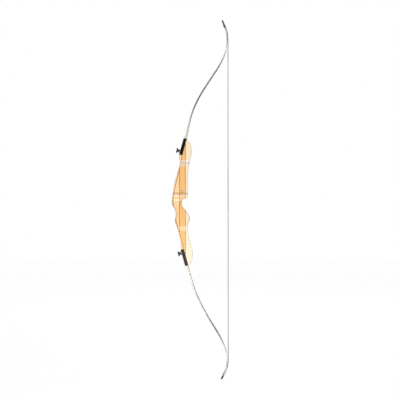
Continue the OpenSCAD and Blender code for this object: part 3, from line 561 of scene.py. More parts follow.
class Nodes:
    """A node tree, whose nodes are made and joined as sums and calls."""

    def __init__(self, tree):
        self.nodes, self.links = tree.nodes, tree.links

    def feed(self, socket, value):
        if isinstance(value, Value):
            self.links.new(value.socket, socket)
        else:
            socket.default_value = (*value, 1) if socket.type == "RGBA" else value

    def node(self, kind, settings=None, *inputs, out=0, **named_inputs):
        """Any node: its settings first, then its inputs in order or by name."""
        node = self.nodes.new("ShaderNode" + kind)
        for key, value in (settings or {}).items():
            setattr(node, key, value)
        for socket, value in zip(node.inputs, inputs):
            if value is not None:
                self.feed(socket, value)
        for key, value in named_inputs.items():
            self.feed(node.inputs[key.replace("_", " ")], value)
        return Value(self, node.outputs[out])

    def seen(self):
        """1 where the camera looks, straight or by a reflection, and 0 for light."""
        rays = self.nodes.new("ShaderNodeLightPath").outputs
        return Value(self, rays["Is Camera Ray"]).math("MAXIMUM", Value(self, rays["Is Glossy Ray"]))


class Finish(Nodes):
    """A material whose surface is one Principled shader."""

    def __init__(self, name, **constants):
        self.material = bpy.data.materials.new("bow_" + name)
        self.material.use_nodes = True
        super().__init__(self.material.node_tree)
        self.shader = self.nodes["Principled BSDF"]
        self.set(**constants)

    def set(self, **values):
        for key, value in values.items():
            self.feed(self.shader.inputs[key.replace("_", " ")], value)

    def place(self, bends=False):
        if bends:
            return self.node("Attribute", {"attribute_name": "rest_place"}, out=1)
        return self.node("TexCoord", out=3)

    def along(self, place, axis):
        return self.node("SeparateXYZ", None, place, out=axis)

    def facing(self, axis):
        """How squarely the surface faces along an axis, either way."""
        return self.along(self.node("TexCoord", out=1), axis).math("ABSOLUTE")

    def moved(self, place, scale, location=(0, 0, 0), turn=(0, 0, 0)):
        return self.node("Mapping", None, place, location, turn, scale)

    def noise(self, place, scale, detail=2.0, rough=0.5):
        return self.node("TexNoise", None, Vector=place, Scale=scale, Detail=detail, Roughness=rough)

    def mix(self, share, first, second):
        node = self.nodes.new("ShaderNodeMix")
        node.data_type = "RGBA"
        for socket, value in ((0, share), (6, first), (7, second)):
            self.feed(node.inputs[socket], value)
        return Value(self, node.outputs[2])

    def bump(self, height, distance, strength=1.0):
        self.set(Normal=self.node("Bump", None, Height=height, Distance=distance, Strength=strength))


def shade(colour, *shares):
    """A colour times one share, or with its red, green and blue each times their own."""
    return tuple(part * share for part, share in zip(colour, shares if len(shares) == 3 else shares * 3))


def wood(name, light, shares, band, turn, offset=(0, 0, 0), figure=0.5, bends=False, stain=None):
    """Lacquered wood whose grain runs along z: growth bands, long pores and a slow figure.

    Faces that point up or down are mixed towards a paler colour, a painted highlight. A stain is the two
    colours of a limb's worked edges and tip.
    """
    finish = Finish(name, Coat_Weight=0.35, Coat_Roughness=0.12, Specular_IOR_Level=0.45)
    place = finish.place(bends)
    dark = shade(light, *shares)
    long_grain = finish.moved(place, (1, 1, 0.07), offset, (0.03, 0.05, turn))
    warp = finish.noise(long_grain, 38, 3, 0.55)
    slow = finish.noise(finish.moved(place, (1, 1, 0.22), offset), 22)
    rings = ((finish.along(long_grain, 0) + warp * 0.011) * (2 * math.pi / (band * MM))).sine() * 0.5 + 0.5
    pores = finish.noise(finish.moved(place, (1, 1, 0.025), offset), 1500, 2, 0.6).above(0.6, 0.12)
    fleck = finish.noise(finish.moved(place, (1, 1, 0.12), offset), 420)
    tone = rings ** 3 * 0.42 + (slow - 0.5) * figure + (fleck - 0.5) * 0.35 + 0.16
    colour = finish.mix(tone, light, dark)
    colour = finish.mix(pores * 0.28, colour, shade(dark, 0.55))
    # Painted highlight: faces that point up or down are mixed towards a paler colour
    colour = finish.mix(finish.facing(2).above(0.45, 0.2) * 0.9, colour, [0.5 * c + 0.5 for c in light])
    if stain:
        colour = limb_stain(finish, place, colour, *stain)
    finish.set(Base_Color=colour, Roughness=0.3 + pores * 0.14 + (slow - 0.5) * 0.1)
    finish.bump(rings * 0.3 - pores, 0.00004, 0.5)


def black_share(height):
    """1 on the black ends of the limbs and 0 elsewhere, for the height of a point."""
    share = 0.0
    for side, outward_height in (("upper", height), ("lower", 0 - height)):
        limb = LIMBS[side]
        edge = abs(limb.to_riser(0, 0, limb.at(limb.length - BLACK_TIP[side])[1]).z)
        share = outward_height.above(edge, 0.001) + share
    return share


def limb_stain(finish, place, colour, grey, tip):
    """The limb's wood is clear at both ends of its working length, grey between, and black at the tip."""
    height = finish.along(place, 2)
    for outward_height, first, last in ((height, 0.40, 0.66), (0 - height, 0.50, 0.60)):
        worked = outward_height.above(first, 0.05) * (1 - outward_height.above(last, 0.05))
        colour = finish.mix(worked, colour, grey)
    return finish.mix(black_share(height), colour, tip)


def glass_facing(name, limbs):
    """Unidirectional glass laminate: fine fibres along the limb, a satin face, paler cut edges by the tip."""
    finish = Finish(name, Specular_IOR_Level=0.25)
    place = finish.place(True)
    fibres = finish.noise(finish.moved(place, (0.2, 1, 0.012)), 2600, 2, 0.6)
    cloud = finish.noise(finish.moved(place, (0.4, 1, 0.1)), 60)
    face = finish.mix(fibres.above(0.52, 0.2), limbs.glass_colour, shade(limbs.glass_colour, 2.2))
    height = finish.along(place, 2)
    edge = finish.facing(1).above(0.8, 0.1)
    face = finish.mix(edge * height.above(0.69, 0.03), face, limbs.cut_colour)
    face = finish.mix(edge * (0 - height).above(0.66, 0.04), face, limbs.lower_cut_colour)
    finish.set(Base_Color=finish.mix(black_share(height), face, limbs.tip_colour),
               Roughness=0.48 + fibres * 0.16 + (cloud - 0.5) * 0.1)
    finish.bump(fibres, 0.00002, 0.4)


def tip_overlay(name, black, grey):
    """Dark grey horn with a fine streak, dipped black at its end."""
    finish = Finish(name, Specular_IOR_Level=0.2)
    place = finish.place()
    streak = finish.noise(finish.moved(place, (1, 1, 0.15)), 700, 3, 0.6)
    dipped = black_share(finish.along(place, 2))
    horn = finish.mix(streak, grey, shade(grey, 0.55))
    finish.set(Base_Color=finish.mix(dipped, horn, black), Roughness=0.5 - dipped * 0.06 + streak * 0.1)
    finish.bump(streak, 0.00003, 0.4)


def moulded(name, colour, worn, grain=900.0, roughness=0.36, gloss=0.3):
    """Satin moulded plastic with a fine texture and patches rubbed paler by the share worn."""
    finish = Finish(name, Specular_IOR_Level=gloss)
    place = finish.place()
    fine = finish.noise(place, grain, 3, 0.6)
    rubbed = finish.noise(place, 55, 4, 0.6).above(0.58, 0.12)
    finish.set(Base_Color=finish.mix(rubbed * 0.35 + fine * 0.2, colour, shade(colour, worn)),
               Roughness=roughness + fine * 0.12 - rubbed * 0.08)
    finish.bump(fine, 0.00006, 0.5)


def metal(name, colour, dull):
    """Turned metal with fine tool marks, dulled in places by the share dull."""
    finish = Finish(name, Metallic=1.0)
    place = finish.place()
    marks = finish.noise(place, 2600, 2, 0.7)
    dulled = finish.noise(place, 140, 3, 0.6)
    finish.set(Base_Color=finish.mix(dulled.above(0.52, 0.2), colour, shade(colour, dull)),
               Roughness=0.12 + marks * 0.1 + dulled * 0.08)
    finish.bump(marks, 0.00001, 0.3)


def fibre(name, colour, pale):
    """Waxed thread: matt strands with a slight shine on their crowns, paler by the share pale."""
    finish = Finish(name, Specular_IOR_Level=0.15)
    place = finish.place(True)
    strands = finish.noise(place, 2200, 2, 0.6)
    waxy = finish.noise(place, 120, 3, 0.6)
    finish.set(Base_Color=finish.mix(strands * 0.6 + waxy * 0.3, colour, shade(colour, pale)),
               Roughness=0.6 + waxy * 0.2)
    finish.bump(strands, 0.00008, 0.6)


def make_materials(scene):
    """Every finish, made once under the name that pieces ask for."""
    riser, limbs, fittings, string = scene.bow_riser, scene.bow_limbs, scene.bow_fittings, scene.bow_string
    wood("core_wood", riser.core_colour, (0.74, 0.5, 0.36), 6.5, 0.4)
    wood("back_wood", riser.back_colour, (0.8, 0.6, 0.45), 7.5, 0.9, (0.3, 0.1, 0.2))
    wood("back_strip_wood", riser.back_colour, (0.8, 0.62, 0.48), 5.5, 1.3, (0.7, 0.4, 0.1))
    wood("belly_wood", riser.belly_colour, (0.85, 0.68, 0.52), 8.0, 0.2, (0.5, 0.8, 0.6))
    wood("veneer_wood", riser.veneer_colour, (0.5,), 3.0, 1.1, (0.2, 0.9, 0.4), 0.3)
    wood("limb_wood", limbs.core_colour, (0.72,), 3.2, 1.45, (0.1, 0.3, 0.8), 0.3, True,
         (limbs.edge_colour, limbs.tip_colour))
    glass_facing("glass", limbs)
    tip_overlay("tip_horn", limbs.tip_colour, limbs.horn_colour)
    moulded("upper_sleeve_black", fittings.upper_sleeve_colour, 2.0, 1100, 0.42, 0.05)
    # The lower sleeve gets its own, greyer colour: painted light for the brighter light on the lower part of
    # the bow
    moulded("lower_sleeve_black", fittings.lower_sleeve_painted_light_colour, 1.6, 1100, 0.45, 0.15)
    moulded("knob_black", fittings.knob_colour, 1.9)
    metal("brass", fittings.brass_colour, 0.6)
    metal("steel", fittings.steel_colour, 0.7)
    fibre("string_fibre", string.strand_colour, 2.4)
    fibre("serving_thread", string.serving_colour, 2.4)
    fibre("loop_thread", string.loop_colour, 1.6)


def material(context, name):
    """The finish of that name, made on first use. The CAD's own materials have other names."""
    if "bow_" + name not in bpy.data.materials:
        make_materials(context.scene)
    return bpy.data.materials["bow_" + name]


# Riser


def riser_ring(z):
    """Points round the riser at one height: four rounded corners, and flats with a point near both ends."""
    x0, x1 = value_at(BACK_LINE, z), value_at(BELLY_LINE, z)
    y0, y1 = value_at(LEFT_LINE, z), value_at(RIGHT_LINE, z)
    r = min(value_at(ROUND_LINE, z), (x1 - x0) / 2 - 0.5, (y1 - y0) / 2 - 0.5)
    points = []
    for corner in range(4):
        cx = x1 - r if corner in (0, 3) else x0 + r
        cy = y1 - r if corner < 2 else y0 + r
        for k in range(9):
            a = math.radians(90 * (corner + k / 8))
            points.append([cx + r * math.cos(a), cy + r * math.sin(a)])
    ringed = []
    for i, (x, y) in enumerate(points):
        ringed.append((x, y))
        if i % 9 == 8:
            nx, ny = points[(i + 1) % len(points)]
            for share in (0.06, 0.94):
                ringed.append((x + (nx - x) * share, y + (ny - y) * share))
    return [Vector((x * MM, y * MM, z * MM)) for x, y in ringed]


def riser_levels():
    """Heights of the riser's rings, closer together round the arrow shelf."""
    low = spaced(LOWER_END_Z, SHELF_Z - 22, 104)[:-1]
    shelf = [SHELF_Z - d for d in (22, 20, 18, 16, 14.5, 13, 11.5, 10, 8.6, 7.3, 6.1, 5, 4, 3.2, 2.5, 1.9,
                                   1.4, 1.0, 0.7, 0.45, 0.2, 0)]
    window = spaced(SHELF_Z, WINDOW_Z, 42)[1:]
    ramp = spaced(WINDOW_Z, UPPER_END_Z, 52)[1:]
    return low + shelf + window + ramp


def seat_tool(side):
    """What the limb's butt takes off the riser: all that lies outside the seat and beyond its ledge."""
    x, z, out = SEATS[side]
    far = 150
    sine, cosine = math.sin(SEAT_ANGLE), math.cos(SEAT_ANGLE)
    outline = [(x + (along * sine - away * cosine) * far, z + out * (along * cosine + away * sine) * far)
               for along, away in ((0, 0), (1, 0), (1, 1), (0, 1))]
    return side_board("seat_tool", outline, -BEYOND, BEYOND)


def stabilizer_seat_x():
    return value_at(BACK_LINE, STABILIZER_Z - STABILIZER_SEAT) + 0.6


def riser_blank():
    """The riser in one piece, with its seats and holes cut."""
    blank = wrapped("riser_blank", [riser_ring(z) for z in riser_levels()])
    for side in SIDES:
        carve(blank, seat_tool(side))
    outside = 30
    bore = turned("tool", [(STABILIZER_SEAT, 0), (STABILIZER_SEAT, outside), (STABILIZER_RADIUS, outside),
                           (STABILIZER_RADIUS, outside + STABILIZER_LENGTH)])
    inwards = Matrix.Rotation(math.pi / 2, 4, "Y")
    tools = [put(bore, shift(stabilizer_seat_x() - outside, 0, STABILIZER_Z) @ inwards)]
    for radius, start, z in ((PLUNGER_RADIUS, -0.03, PLUNGER_Z), (SIGHT_RADIUS, 0.01, SIGHT_HEIGHTS[0]),
                             (SIGHT_RADIUS, 0.01, SIGHT_HEIGHTS[1])):
        tools.append(drill("tool", radius, (PLUNGER_X * MM, start, z * MM), (PLUNGER_X * MM, 0.04, z * MM)))
    for side in SIDES:
        for u, radius, depth in ((BOLT_U, INSERT_RADIUS, INSERT_LENGTH), (PIN_U, PIN_RADIUS, PIN_LENGTH)):
            tool = drill("tool", radius, (0, 0, -depth * MM), (0, 0, 0.01))
            tools.append(put(tool, LIMBS[side].out_of_seat(u)))
    carve(blank, join("bores", *tools))
    return blank


def lamination(blank, name, low, high, z_low, z_high):
    """The part of the riser between two depths, each a number or a function of the height."""
    def depth(edge, z):
        return edge(z) if callable(edge) else edge

    levels = [z for z in spaced(z_low, z_high, max(2, int((z_high - z_low) / 2)))
              if depth(high, z) - depth(low, z) > 0.01]
    outline = [(depth(low, z), z) for z in levels] + [(depth(high, z), z) for z in reversed(levels)]
    zone = side_board("zone", outline, -BEYOND, BEYOND)
    piece = duplicate(blank, name)
    carve(piece, zone, "INTERSECT")
    outward(piece)
    return smooth(piece)


def curve_front(z):
    return value_at(CURVE_LINE, z) - CURVED_VENEER / 2


def curve_behind(z):
    return value_at(CURVE_LINE, z) + CURVED_VENEER / 2


# Limbs

def strip(name, limb, stations, belly, back, round_belly=0.0, round_back=0.0):
    """A lamination between two offsets from the limb's centre line, each a function of the distance."""
    rings = []
    for s in stations:
        front, behind = belly(s), back(s)
        ring = []
        for sign, order in ((1, 1), (-1, -1)):
            corners = []
            for offset, inward, radius in ((behind, 1, round_back), (front, -1, round_belly)):
                if radius:
                    bevel = [(offset, -radius), (offset + inward * 0.3 * radius, -0.3 * radius),
                             (offset + inward * radius, 0)]
                    corners += bevel if inward == 1 else bevel[::-1]
                else:
                    corners.append((offset, 0))
            for offset, narrower in corners[::order]:
                x, z = limb.beside(s, offset)
                ring.append(limb.to_riser(x, sign * (limb.half_width(max(z, 0)) + narrower), z))
        rings.append(ring)
    return wrapped(name, rings)


def limb_stations(limb, start, end=None):
    """Distances along the limb to its end or past its tip, closer together round the tip."""
    if end:
        return spaced(start, end, int((end - start) / 5) + 1)
    cap = (TIP_CAP + 3) / math.cos(limb.at(limb.length)[2])
    round_end = [limb.length + 3 - (cap + 3) * (1 - math.sin(a)) for a in spaced(0, math.pi / 2, 16)]
    return spaced(start, round_end[0], int((round_end[0] - start) / 5) + 1)[:-1] + round_end


def trim_tip(piece, limb):
    """Cuts the tip square to the bow's height, where the frame's own tip ends."""
    height = cad_box[1].z if limb.side == "upper" else cad_box[0].z
    cut = Vector((0, 0, height - limb.out * TIP_TRIM * MM))
    edit(piece, lambda: bpy.ops.mesh.bisect(plane_co=cut, plane_no=(0, 0, limb.out), clear_outer=True,
                                            use_fill=True))


def nock_tools(limb):
    x, z, heading = limb.at(limb.nock_s)
    width = limb.half_width(z) + NOCK_RIM
    across = Vector((math.cos(heading), 0, -limb.out * math.sin(heading))) * 0.02
    tools = []
    for sign in (-1, 1):
        centre = limb.to_riser(x, sign * width, z)
        tools.append(drill("nock_tool", NOCK_RADIUS, centre - across, centre + across, 32))
    return join("nock_tools", *tools)


def butt_tools(limb):
    """The bolt hole and the pin's hole of a limb butt."""
    bolt = drill("bolt_tool", BOLT_HOLE, (0, 0, -0.03), (0, 0, 0.04))
    pin = drill("pin_tool", PIN_HOLE, (0, 0, -0.03), (0, 0, PIN_HOLE_DEPTH * MM))
    return join("butt_tools", put(bolt, limb.out_of_seat(BOLT_U)), put(pin, limb.out_of_seat(PIN_U)))


def wedge_depth(s):
    if s <= 0:
        return WEDGE_THICK
    f = s / WEDGE_LENGTH
    return FEATHER + (WEDGE_THICK - FEATHER) * (1 - f) * (1 - f * WEDGE_CURVE)


def overlay_depth(limb, s):
    f = min(1.0, (s - limb.length + OVERLAY_LENGTH) / OVERLAY_RAMP)
    return FEATHER + (OVERLAY_THICK - FEATHER) * f * (2 - f)


def bend_at_root(piece, limb):
    """Stores where each point of the limb piece rests, and bakes its place into its mesh."""
    start, end = (limb.on_line(s, 0) for s in (0, 2 * ROOT_LENGTH))
    keep_rest(piece)
    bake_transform(piece)


# String

def string_on_limb(limb, s):
    return limb.on_line(s, limb.half_thick(s) + STRING_GAP + STRING_RADIUS + SERVING_THICK)


CONTACTS = {side: string_on_limb(LIMBS[side], LIMBS[side].contact_s) for side in SIDES}


def nocking_point():
    upper, lower = CONTACTS["upper"], CONTACTS["lower"]
    share = (upper.z - NOCKING_Z * MM) / (upper.z - lower.z)
    return upper + (lower - upper) * share


def string_route(limb, first, last, spacing):
    """Points along a half of the string between two distances from where its loop's strands join."""
    join_to_contact = limb.join_s - limb.contact_s
    contact = CONTACTS[limb.side]
    down = (nocking_point() - contact).normalized()
    count = max(2, int(round((last - first) / spacing)) + 1)
    points = []
    for d in spaced(first, last, count):
        if d < join_to_contact:
            points.append(string_on_limb(limb, limb.join_s - d))
        else:
            points.append(contact + down * (d - join_to_contact) * MM)
    return points


def half_length(limb):
    return limb.join_s - limb.contact_s + (nocking_point() - CONTACTS[limb.side]).length / MM


def line_curve(name, dimensions, points):
    """A curve object of straight steps through points, and its spline."""
    curve = bpy.data.curves.new(name, "CURVE")
    curve.dimensions = dimensions
    spline = curve.splines.new("POLY")
    spline.points.add(len(points) - 1)
    for target, place in zip(spline.points, points):
        target.co = (*place, 1)
    obj = bpy.data.objects.new(name, curve)
    bpy.context.scene.collection.objects.link(obj)
    return obj, spline


def lobed(name, radius, lobes, depth, steps):
    """The outline of a bundle of strands, as a closed curve."""
    points = []
    for i in range(steps):
        a = 2 * math.pi * i / steps
        r = radius * (1 - depth * (0.5 - 0.5 * math.cos(lobes * a)))
        points.append((r * math.cos(a), r * math.sin(a), 0))
    obj, spline = line_curve(name, "2D", points)
    spline.use_cyclic_u = True
    return obj


def swept(name, points, outline, twist=0.0, sizes=None):
    """A cord along points, its outline turned by twist radians from each point to the next."""
    obj, spline = line_curve(name, "3D", points)
    for i, point in enumerate(spline.points):
        point.tilt = twist * i
        point.radius = sizes[i] if sizes else 1
    obj.data.twist_mode = "MINIMUM"
    obj.data.bevel_mode = "OBJECT"
    obj.data.bevel_object = outline
    obj.data.use_fill_caps = True
    choose(obj)
    bpy.ops.object.convert(target="MESH")
    obj = outward(named(name))
    remove(outline)
    return smooth(obj, 60)


def wound(name, points, radius, sizes=None):
    """Thread wound side by side round the string, or round a loop, its points half a turn apart."""
    sizes = sizes or [1.0] * len(points)
    ridged = [size * (1.0 if i % 2 else THREAD_VALLEY) for i, size in enumerate(sizes)]
    return swept(name, points, lobed("thread_outline", radius, 1, 0, 14), 0.0, ridged)


def with_dome(points, radius, angles):
    """A serving's line and sizes with a dome past its end, which fills the kink of the drawn string."""
    ahead = (points[-1] - points[-2]).normalized() * radius * DOME_SIZE
    sizes = [1.0] * len(points) + [DOME_SIZE * math.cos(a) for a in angles]
    return points + [points[-1] + ahead * math.sin(a) for a in angles], sizes


def by_nock(limb, t, x, y):
    """A point by the nocks: t towards the tip, x towards the belly, y across."""
    return limb.on_line(limb.nock_s + t, x, y)


def loop_front(limb):
    """How far the loop's middle lies from the limb's, on its belly."""
    return limb.half_thick(limb.nock_s) + LOOP_RADIUS + STRING_GAP


def loop_route(limb):
    """The loop's line: up one leg, through a nock, round the back, through the other nock and down."""
    reach = limb.half_width(limb.at(limb.nock_s)[1]) + NOCK_RIM - NOCK_RADIUS + LOOP_RADIUS + STRING_GAP
    front, behind = loop_front(limb), loop_front(limb) + OVERLAY_THICK
    bend, inner = EYE_BEND, reach - EYE_BEND
    string_off = STRING_GAP + STRING_RADIUS + SERVING_THICK
    close = LOOP_RADIUS + STRING_GAP
    half = []
    for g in reversed(spaced(0.05, 1, LEG_POINTS)):
        t = LOOP_LENGTH * g
        x = limb.half_thick(limb.nock_s - t) + close + (string_off - close) * g
        half.append((-t, x, inner + (LOOP_RADIUS + 0.05 - inner) * g))
    arc = [(math.cos(a), math.sin(a)) for a in spaced(0, math.pi / 2, 7)]
    half += [(0, front - bend + bend * c, inner + bend * s) for c, s in arc]
    half += [(0, -behind + bend - bend * s, inner + bend * c) for c, s in arc]
    half += [(0, -behind, inner * k) for k in (0.8, 0.6, 0.4, 0.2)]
    route = half + [(0, -behind, 0)] + [(t, x, -y) for t, x, y in reversed(half)]
    return [by_nock(limb, *p) for p in route]


def fine_steps(points, step):
    """The same line with points about one step apart."""
    fine = []
    for a, b in zip(points, points[1:]):
        count = max(1, round((b - a).length / step))
        fine += [a.lerp(b, k / count) for k in range(count)]
    return fine + [points[-1]]


def straighten_when_drawn(piece, limb):
    """Bakes the piece's place into its mesh."""
    nock, outwards = by_nock(limb, 0, 0, 0), Vector((0, 0, limb.out * MM))
    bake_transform(piece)


# Sizes and colours that a user may change

def colour_setting(name, description, red, green, blue):
    return FloatVectorProperty(name=name, description=description, subtype="COLOR", size=3, min=0, max=1,
                               default=linear(red, green, blue))


def length_setting(name, description, default, **limits):
    return FloatProperty(name=name, description=description, subtype="DISTANCE", unit="LENGTH",
                         default=default, **limits)


class BowRiserSettings(bpy.types.PropertyGroup):
    """The riser's finish."""
    core_colour: colour_setting(
        "Core colour", "Colour of the amber wood in the middle of the riser", 249, 198, 120)
    back_colour: colour_setting(
        "Back colour", "Colour of the pale wood on the side of the target", 252, 217, 163)
    belly_colour: colour_setting(
        "Belly colour", "Colour of the cream wood on the side of the archer", 252, 237, 211)
    veneer_colour: colour_setting("Veneer colour", "Colour of the dark veneers", 142, 80, 30)


class BowLimbSettings(bpy.types.PropertyGroup):
    """The limbs' finish."""
    core_colour: colour_setting("Core colour", "Colour of the limbs' wood", 250, 244, 230)
    edge_colour: colour_setting(
        "Edge colour", "Colour of the limbs' edges along their working length", 120, 114, 108)
    glass_colour: colour_setting("Facing colour", "Colour of the glass facings", 40, 39, 40)
    cut_colour: colour_setting(
        "Cut edge colour", "Colour of the facings' cut edges along the upper recurve", 158, 154, 142)
    lower_cut_colour: colour_setting(
        "Lower cut edge colour", "Colour of the cut edges along the lower recurve", 226, 225, 217)
    tip_colour: colour_setting("Tip colour", "Colour of the limbs' black ends", 26, 25, 27)
    horn_colour: colour_setting(
        "Overlay colour", "Colour of the tip overlays below their black ends", 150, 145, 138)
    edge_radius: length_setting(
        "Edge radius", "Rounding of the limbs' long edges", 0.0004, min=0.0001, max=0.0005)


class BowFittingSettings(bpy.types.PropertyGroup):
    """The sleeves, knobs and bushings."""
    upper_sleeve_colour: colour_setting("Upper sleeve colour", "Colour of the upper butt sleeve", 18, 9, 5)
    # The lower sleeve's greyer colour is painted light, for the brighter light on the lower part of the bow
    lower_sleeve_painted_light_colour: colour_setting(
        "Lower sleeve colour", "Colour of the lower butt sleeve, greyer than the upper one as painted light", 40, 34, 32)
    knob_colour: colour_setting("Knob colour", "Colour of the hand knobs", 44, 44, 46)
    brass_colour: colour_setting("Brass colour", "Colour of the bushings", 128, 78, 42)
    steel_colour: colour_setting("Steel colour", "Colour of the studs, washers and pins", 205, 206, 210)
    knob_radius: length_setting("Knob radius", "Radius of a knob's hand disc", 0.0115, min=0.009, max=0.012)
    knob_flutes: IntProperty(
        name="Knob flutes", description="Number of finger hollows round a knob", min=5, max=14, default=10)


class BowStringSettings(bpy.types.PropertyGroup):
    """The string's make."""
    strands: IntProperty(
        name="Strands", description="Strands that show round the string", min=5, max=16, default=9)
    twist_pitch: length_setting(
        "Twist pitch", "Length over which the string makes one turn", 0.045, min=0.02, max=0.2)
    thread_pitch: length_setting(
        "Thread pitch", "Width of one turn of the serving's thread", 0.0007, min=0.0004, max=0.002)
    strand_colour: colour_setting("Strand colour", "Colour of the string", 19, 19, 21)
    loop_colour: colour_setting("Loop colour", "Colour of the loops' thread", 74, 74, 78)
    serving_colour: colour_setting("Serving colour", "Colour of the servings", 16, 16, 18)


class BowStageSettings(bpy.types.PropertyGroup):
    """The stage and camera."""
    camera_distance: length_setting(
        "Camera distance", "Distance of the camera from the bow's centre plane", 3.4, min=2, max=20)
    world_light: FloatProperty(
        name="World light", description="Strength of the light from all round", min=0, max=1, default=0.34)
    floor_white: FloatProperty(
        name="Floor white", description="White that the floor adds where it is seen", min=0, max=1,
        default=0.935)
    view_width: length_setting("View width", "Width of the view at the bow", 1.803, min=0.2, max=4)
    view_centre_x: length_setting("View centre across", "Middle of the view across", 0.0824)
    view_centre_z: length_setting("View centre up", "Middle of the view up", 0.01555)


# Operators, one for each piece or group

class BOW_OT_stage(bpy.types.Operator):
    """Adds the floor, lamps, world and camera"""
    bl_idname = "bow.stage"
    bl_label = "Stage"

    def execute(self, context):
        stage = context.scene.bow_stage
        context.scene.view_settings.view_transform = "Standard"
        deselect()
        bpy.ops.object.camera_add(
            location=(stage.view_centre_x, -stage.camera_distance, stage.view_centre_z),
            rotation=(math.pi / 2, 0, 0))
        camera = context.object
        camera.name = "camera"
        camera.data.sensor_width = SENSOR_WIDTH
        camera.data.lens = SENSOR_WIDTH * stage.camera_distance / stage.view_width
        camera.data.clip_end = 100
        context.scene.camera = camera

        bpy.ops.mesh.primitive_plane_add(size=FLOOR_SIZE, location=(0, 0, cad_box[0].z - FLOOR_GAP))
        floor = named("floor")
        put(floor, Matrix.Translation(floor.location))
        finish = Finish("floor_white", Roughness=0.9, Specular_IOR_Level=0.1, Emission_Strength=1.0)
        speckle = finish.noise(finish.place(), 30)
        finish.set(Base_Color=finish.mix(speckle, *[(grey,) * 3 for grey in FLOOR_GREYS]),
                   Emission_Color=finish.mix(finish.seen(), (0.0,) * 3, (stage.floor_white,) * 3))
        coat(floor, finish.material)

        world = bpy.data.worlds.new("studio")
        context.scene.world = world
        world.use_nodes = True
        sky = Nodes(world.node_tree)
        background = sky.nodes["Background"]
        sky.feed(background.inputs["Color"], (1, 1, 1))
        sky.feed(background.inputs["Strength"], sky.seen() * (1 - stage.world_light) + stage.world_light)

        for name, place, size, watts in LAMPS:
            bpy.ops.object.light_add(type="AREA", location=place)
            lamp = context.object
            lamp.name = name
            lamp.data.shape = "RECTANGLE"
            lamp.data.energy = watts
            lamp.data.size, lamp.data.size_y = size
            lamp.visible_camera = False
            towards = Vector(LAMPS_AIM) - Vector(place)
            lamp.rotation_euler = towards.to_track_quat("-Z", "Y").to_euler()
        return {"FINISHED"}


class BOW_OT_riser(bpy.types.Operator):
    """Models the riser's eleven laminations"""
    bl_idname = "bow.riser"
    bl_label = "Riser"

    def execute(self, context):
        blank = riser_blank()
        back, belly, dark = BACK_FACE_X, BELLY_FACE_X, STRAIGHT_VENEER
        bottom, top = LOWER_END_Z - 5, UPPER_END_Z + 5

        def behind(edge):
            return lambda z: max(edge, curve_behind(z))

        rows = [
            ("riser_core", behind(back + dark), belly - dark, bottom, top, "core_wood"),
            ("back_block", curve_behind, back, bottom, top, "back_wood"),
            ("back_veneer", behind(back), back + dark, bottom, top, "veneer_wood"),
        ]
        for side, z_low, z_high in (("upper", 0, top), ("lower", bottom, 0)):
            rows += [(side + "_belly_block", behind(belly), BEYOND, z_low, z_high, "belly_wood"),
                     (side + "_belly_veneer", behind(belly - dark), belly, z_low, z_high, "veneer_wood")]
        for side, z_low, z_high in (("upper", STRIP_SPLIT_Z, top), ("lower", bottom, STRIP_SPLIT_Z)):
            rows += [(side + "_curved_veneer", curve_front, curve_behind, z_low, z_high, "veneer_wood"),
                     (side + "_back_strip", -BEYOND, curve_front, z_low, z_high, "back_strip_wood")]
        for node, low, high, z_low, z_high, finish in rows:
            piece = lamination(blank, node + "_shaped", low, high, z_low, z_high)
            coat(piece, material(context, finish))
            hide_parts(node)
            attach(piece, "riser")
        remove(blank)
        return {"FINISHED"}


class BOW_OT_bushings(bpy.types.Operator):
    """Models the threaded bushings, and finishes the inserts and pins"""
    bl_idname = "bow.bushings"
    bl_label = "Bushings"

    def bushing(self, name, radius, bore, length, rim=0.0, floor=0.0):
        """A bushing with its mouth at z = 0 and its body below, tapped with ridges."""
        profile = [(radius, -length)]
        if rim:
            outer = radius + rim
            profile += [(radius, 0), (outer, 0), (outer, 0.75), (outer - 0.25, 1.0), (bore + 0.6, 1.0)]
        else:
            profile += [(radius, -0.3), (radius - 0.3, 0), (bore + 0.6, 0)]
        z, bottom = (0.4 if rim else -0.6), floor - length
        while z > bottom + BUSHING_PITCH:
            profile += [(bore, z), (bore + BUSHING_RIDGE, z - BUSHING_PITCH / 2)]
            z -= BUSHING_PITCH
        profile.append((bore, bottom))
        profile += [(0.3, bottom), (0.3, -length)] if floor else [(bore, -length)]
        return turned(name, profile, 40, ring=True)

    def execute(self, context):
        right = Matrix.Rotation(-math.pi / 2, 4, "X")
        plunger = self.bushing("plunger_bushing_tapped", PLUNGER_RADIUS, PLUNGER_BORE, PLUNGER_LENGTH)
        put(plunger, shift(PLUNGER_X, RISER_HALF_WIDTH, PLUNGER_Z) @ right)
        sights = []
        for z in SIGHT_HEIGHTS:
            piece = self.bushing("sight_bushing", SIGHT_RADIUS, SIGHT_BORE, SIGHT_LENGTH)
            sights.append(put(piece, shift(PLUNGER_X, RISER_HALF_WIDTH, z) @ right))
        sights = join("sight_bushings_tapped", *sights)
        stabilizer = self.bushing("stabilizer_bushing_tapped", STABILIZER_RADIUS, PLUNGER_BORE,
                                  STABILIZER_LENGTH, STABILIZER_RIM, STABILIZER_FLOOR)
        put(stabilizer, shift(stabilizer_seat_x(), 0, STABILIZER_Z) @ Matrix.Rotation(-math.pi / 2, 4, "Y"))
        for piece, node in ((plunger, "plunger_bushing"), (sights, "sight_bushings"),
                            (stabilizer, "stabilizer_bushing")):
            smooth(coat(piece, material(context, "brass")), 25)
            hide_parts(node)
            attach(piece, "riser")
        for side in SIDES:
            coat(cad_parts[side + "_bolt_insert"], material(context, "brass"))
            coat(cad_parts[side + "_alignment_pin"], material(context, "steel"))
        return {"FINISHED"}


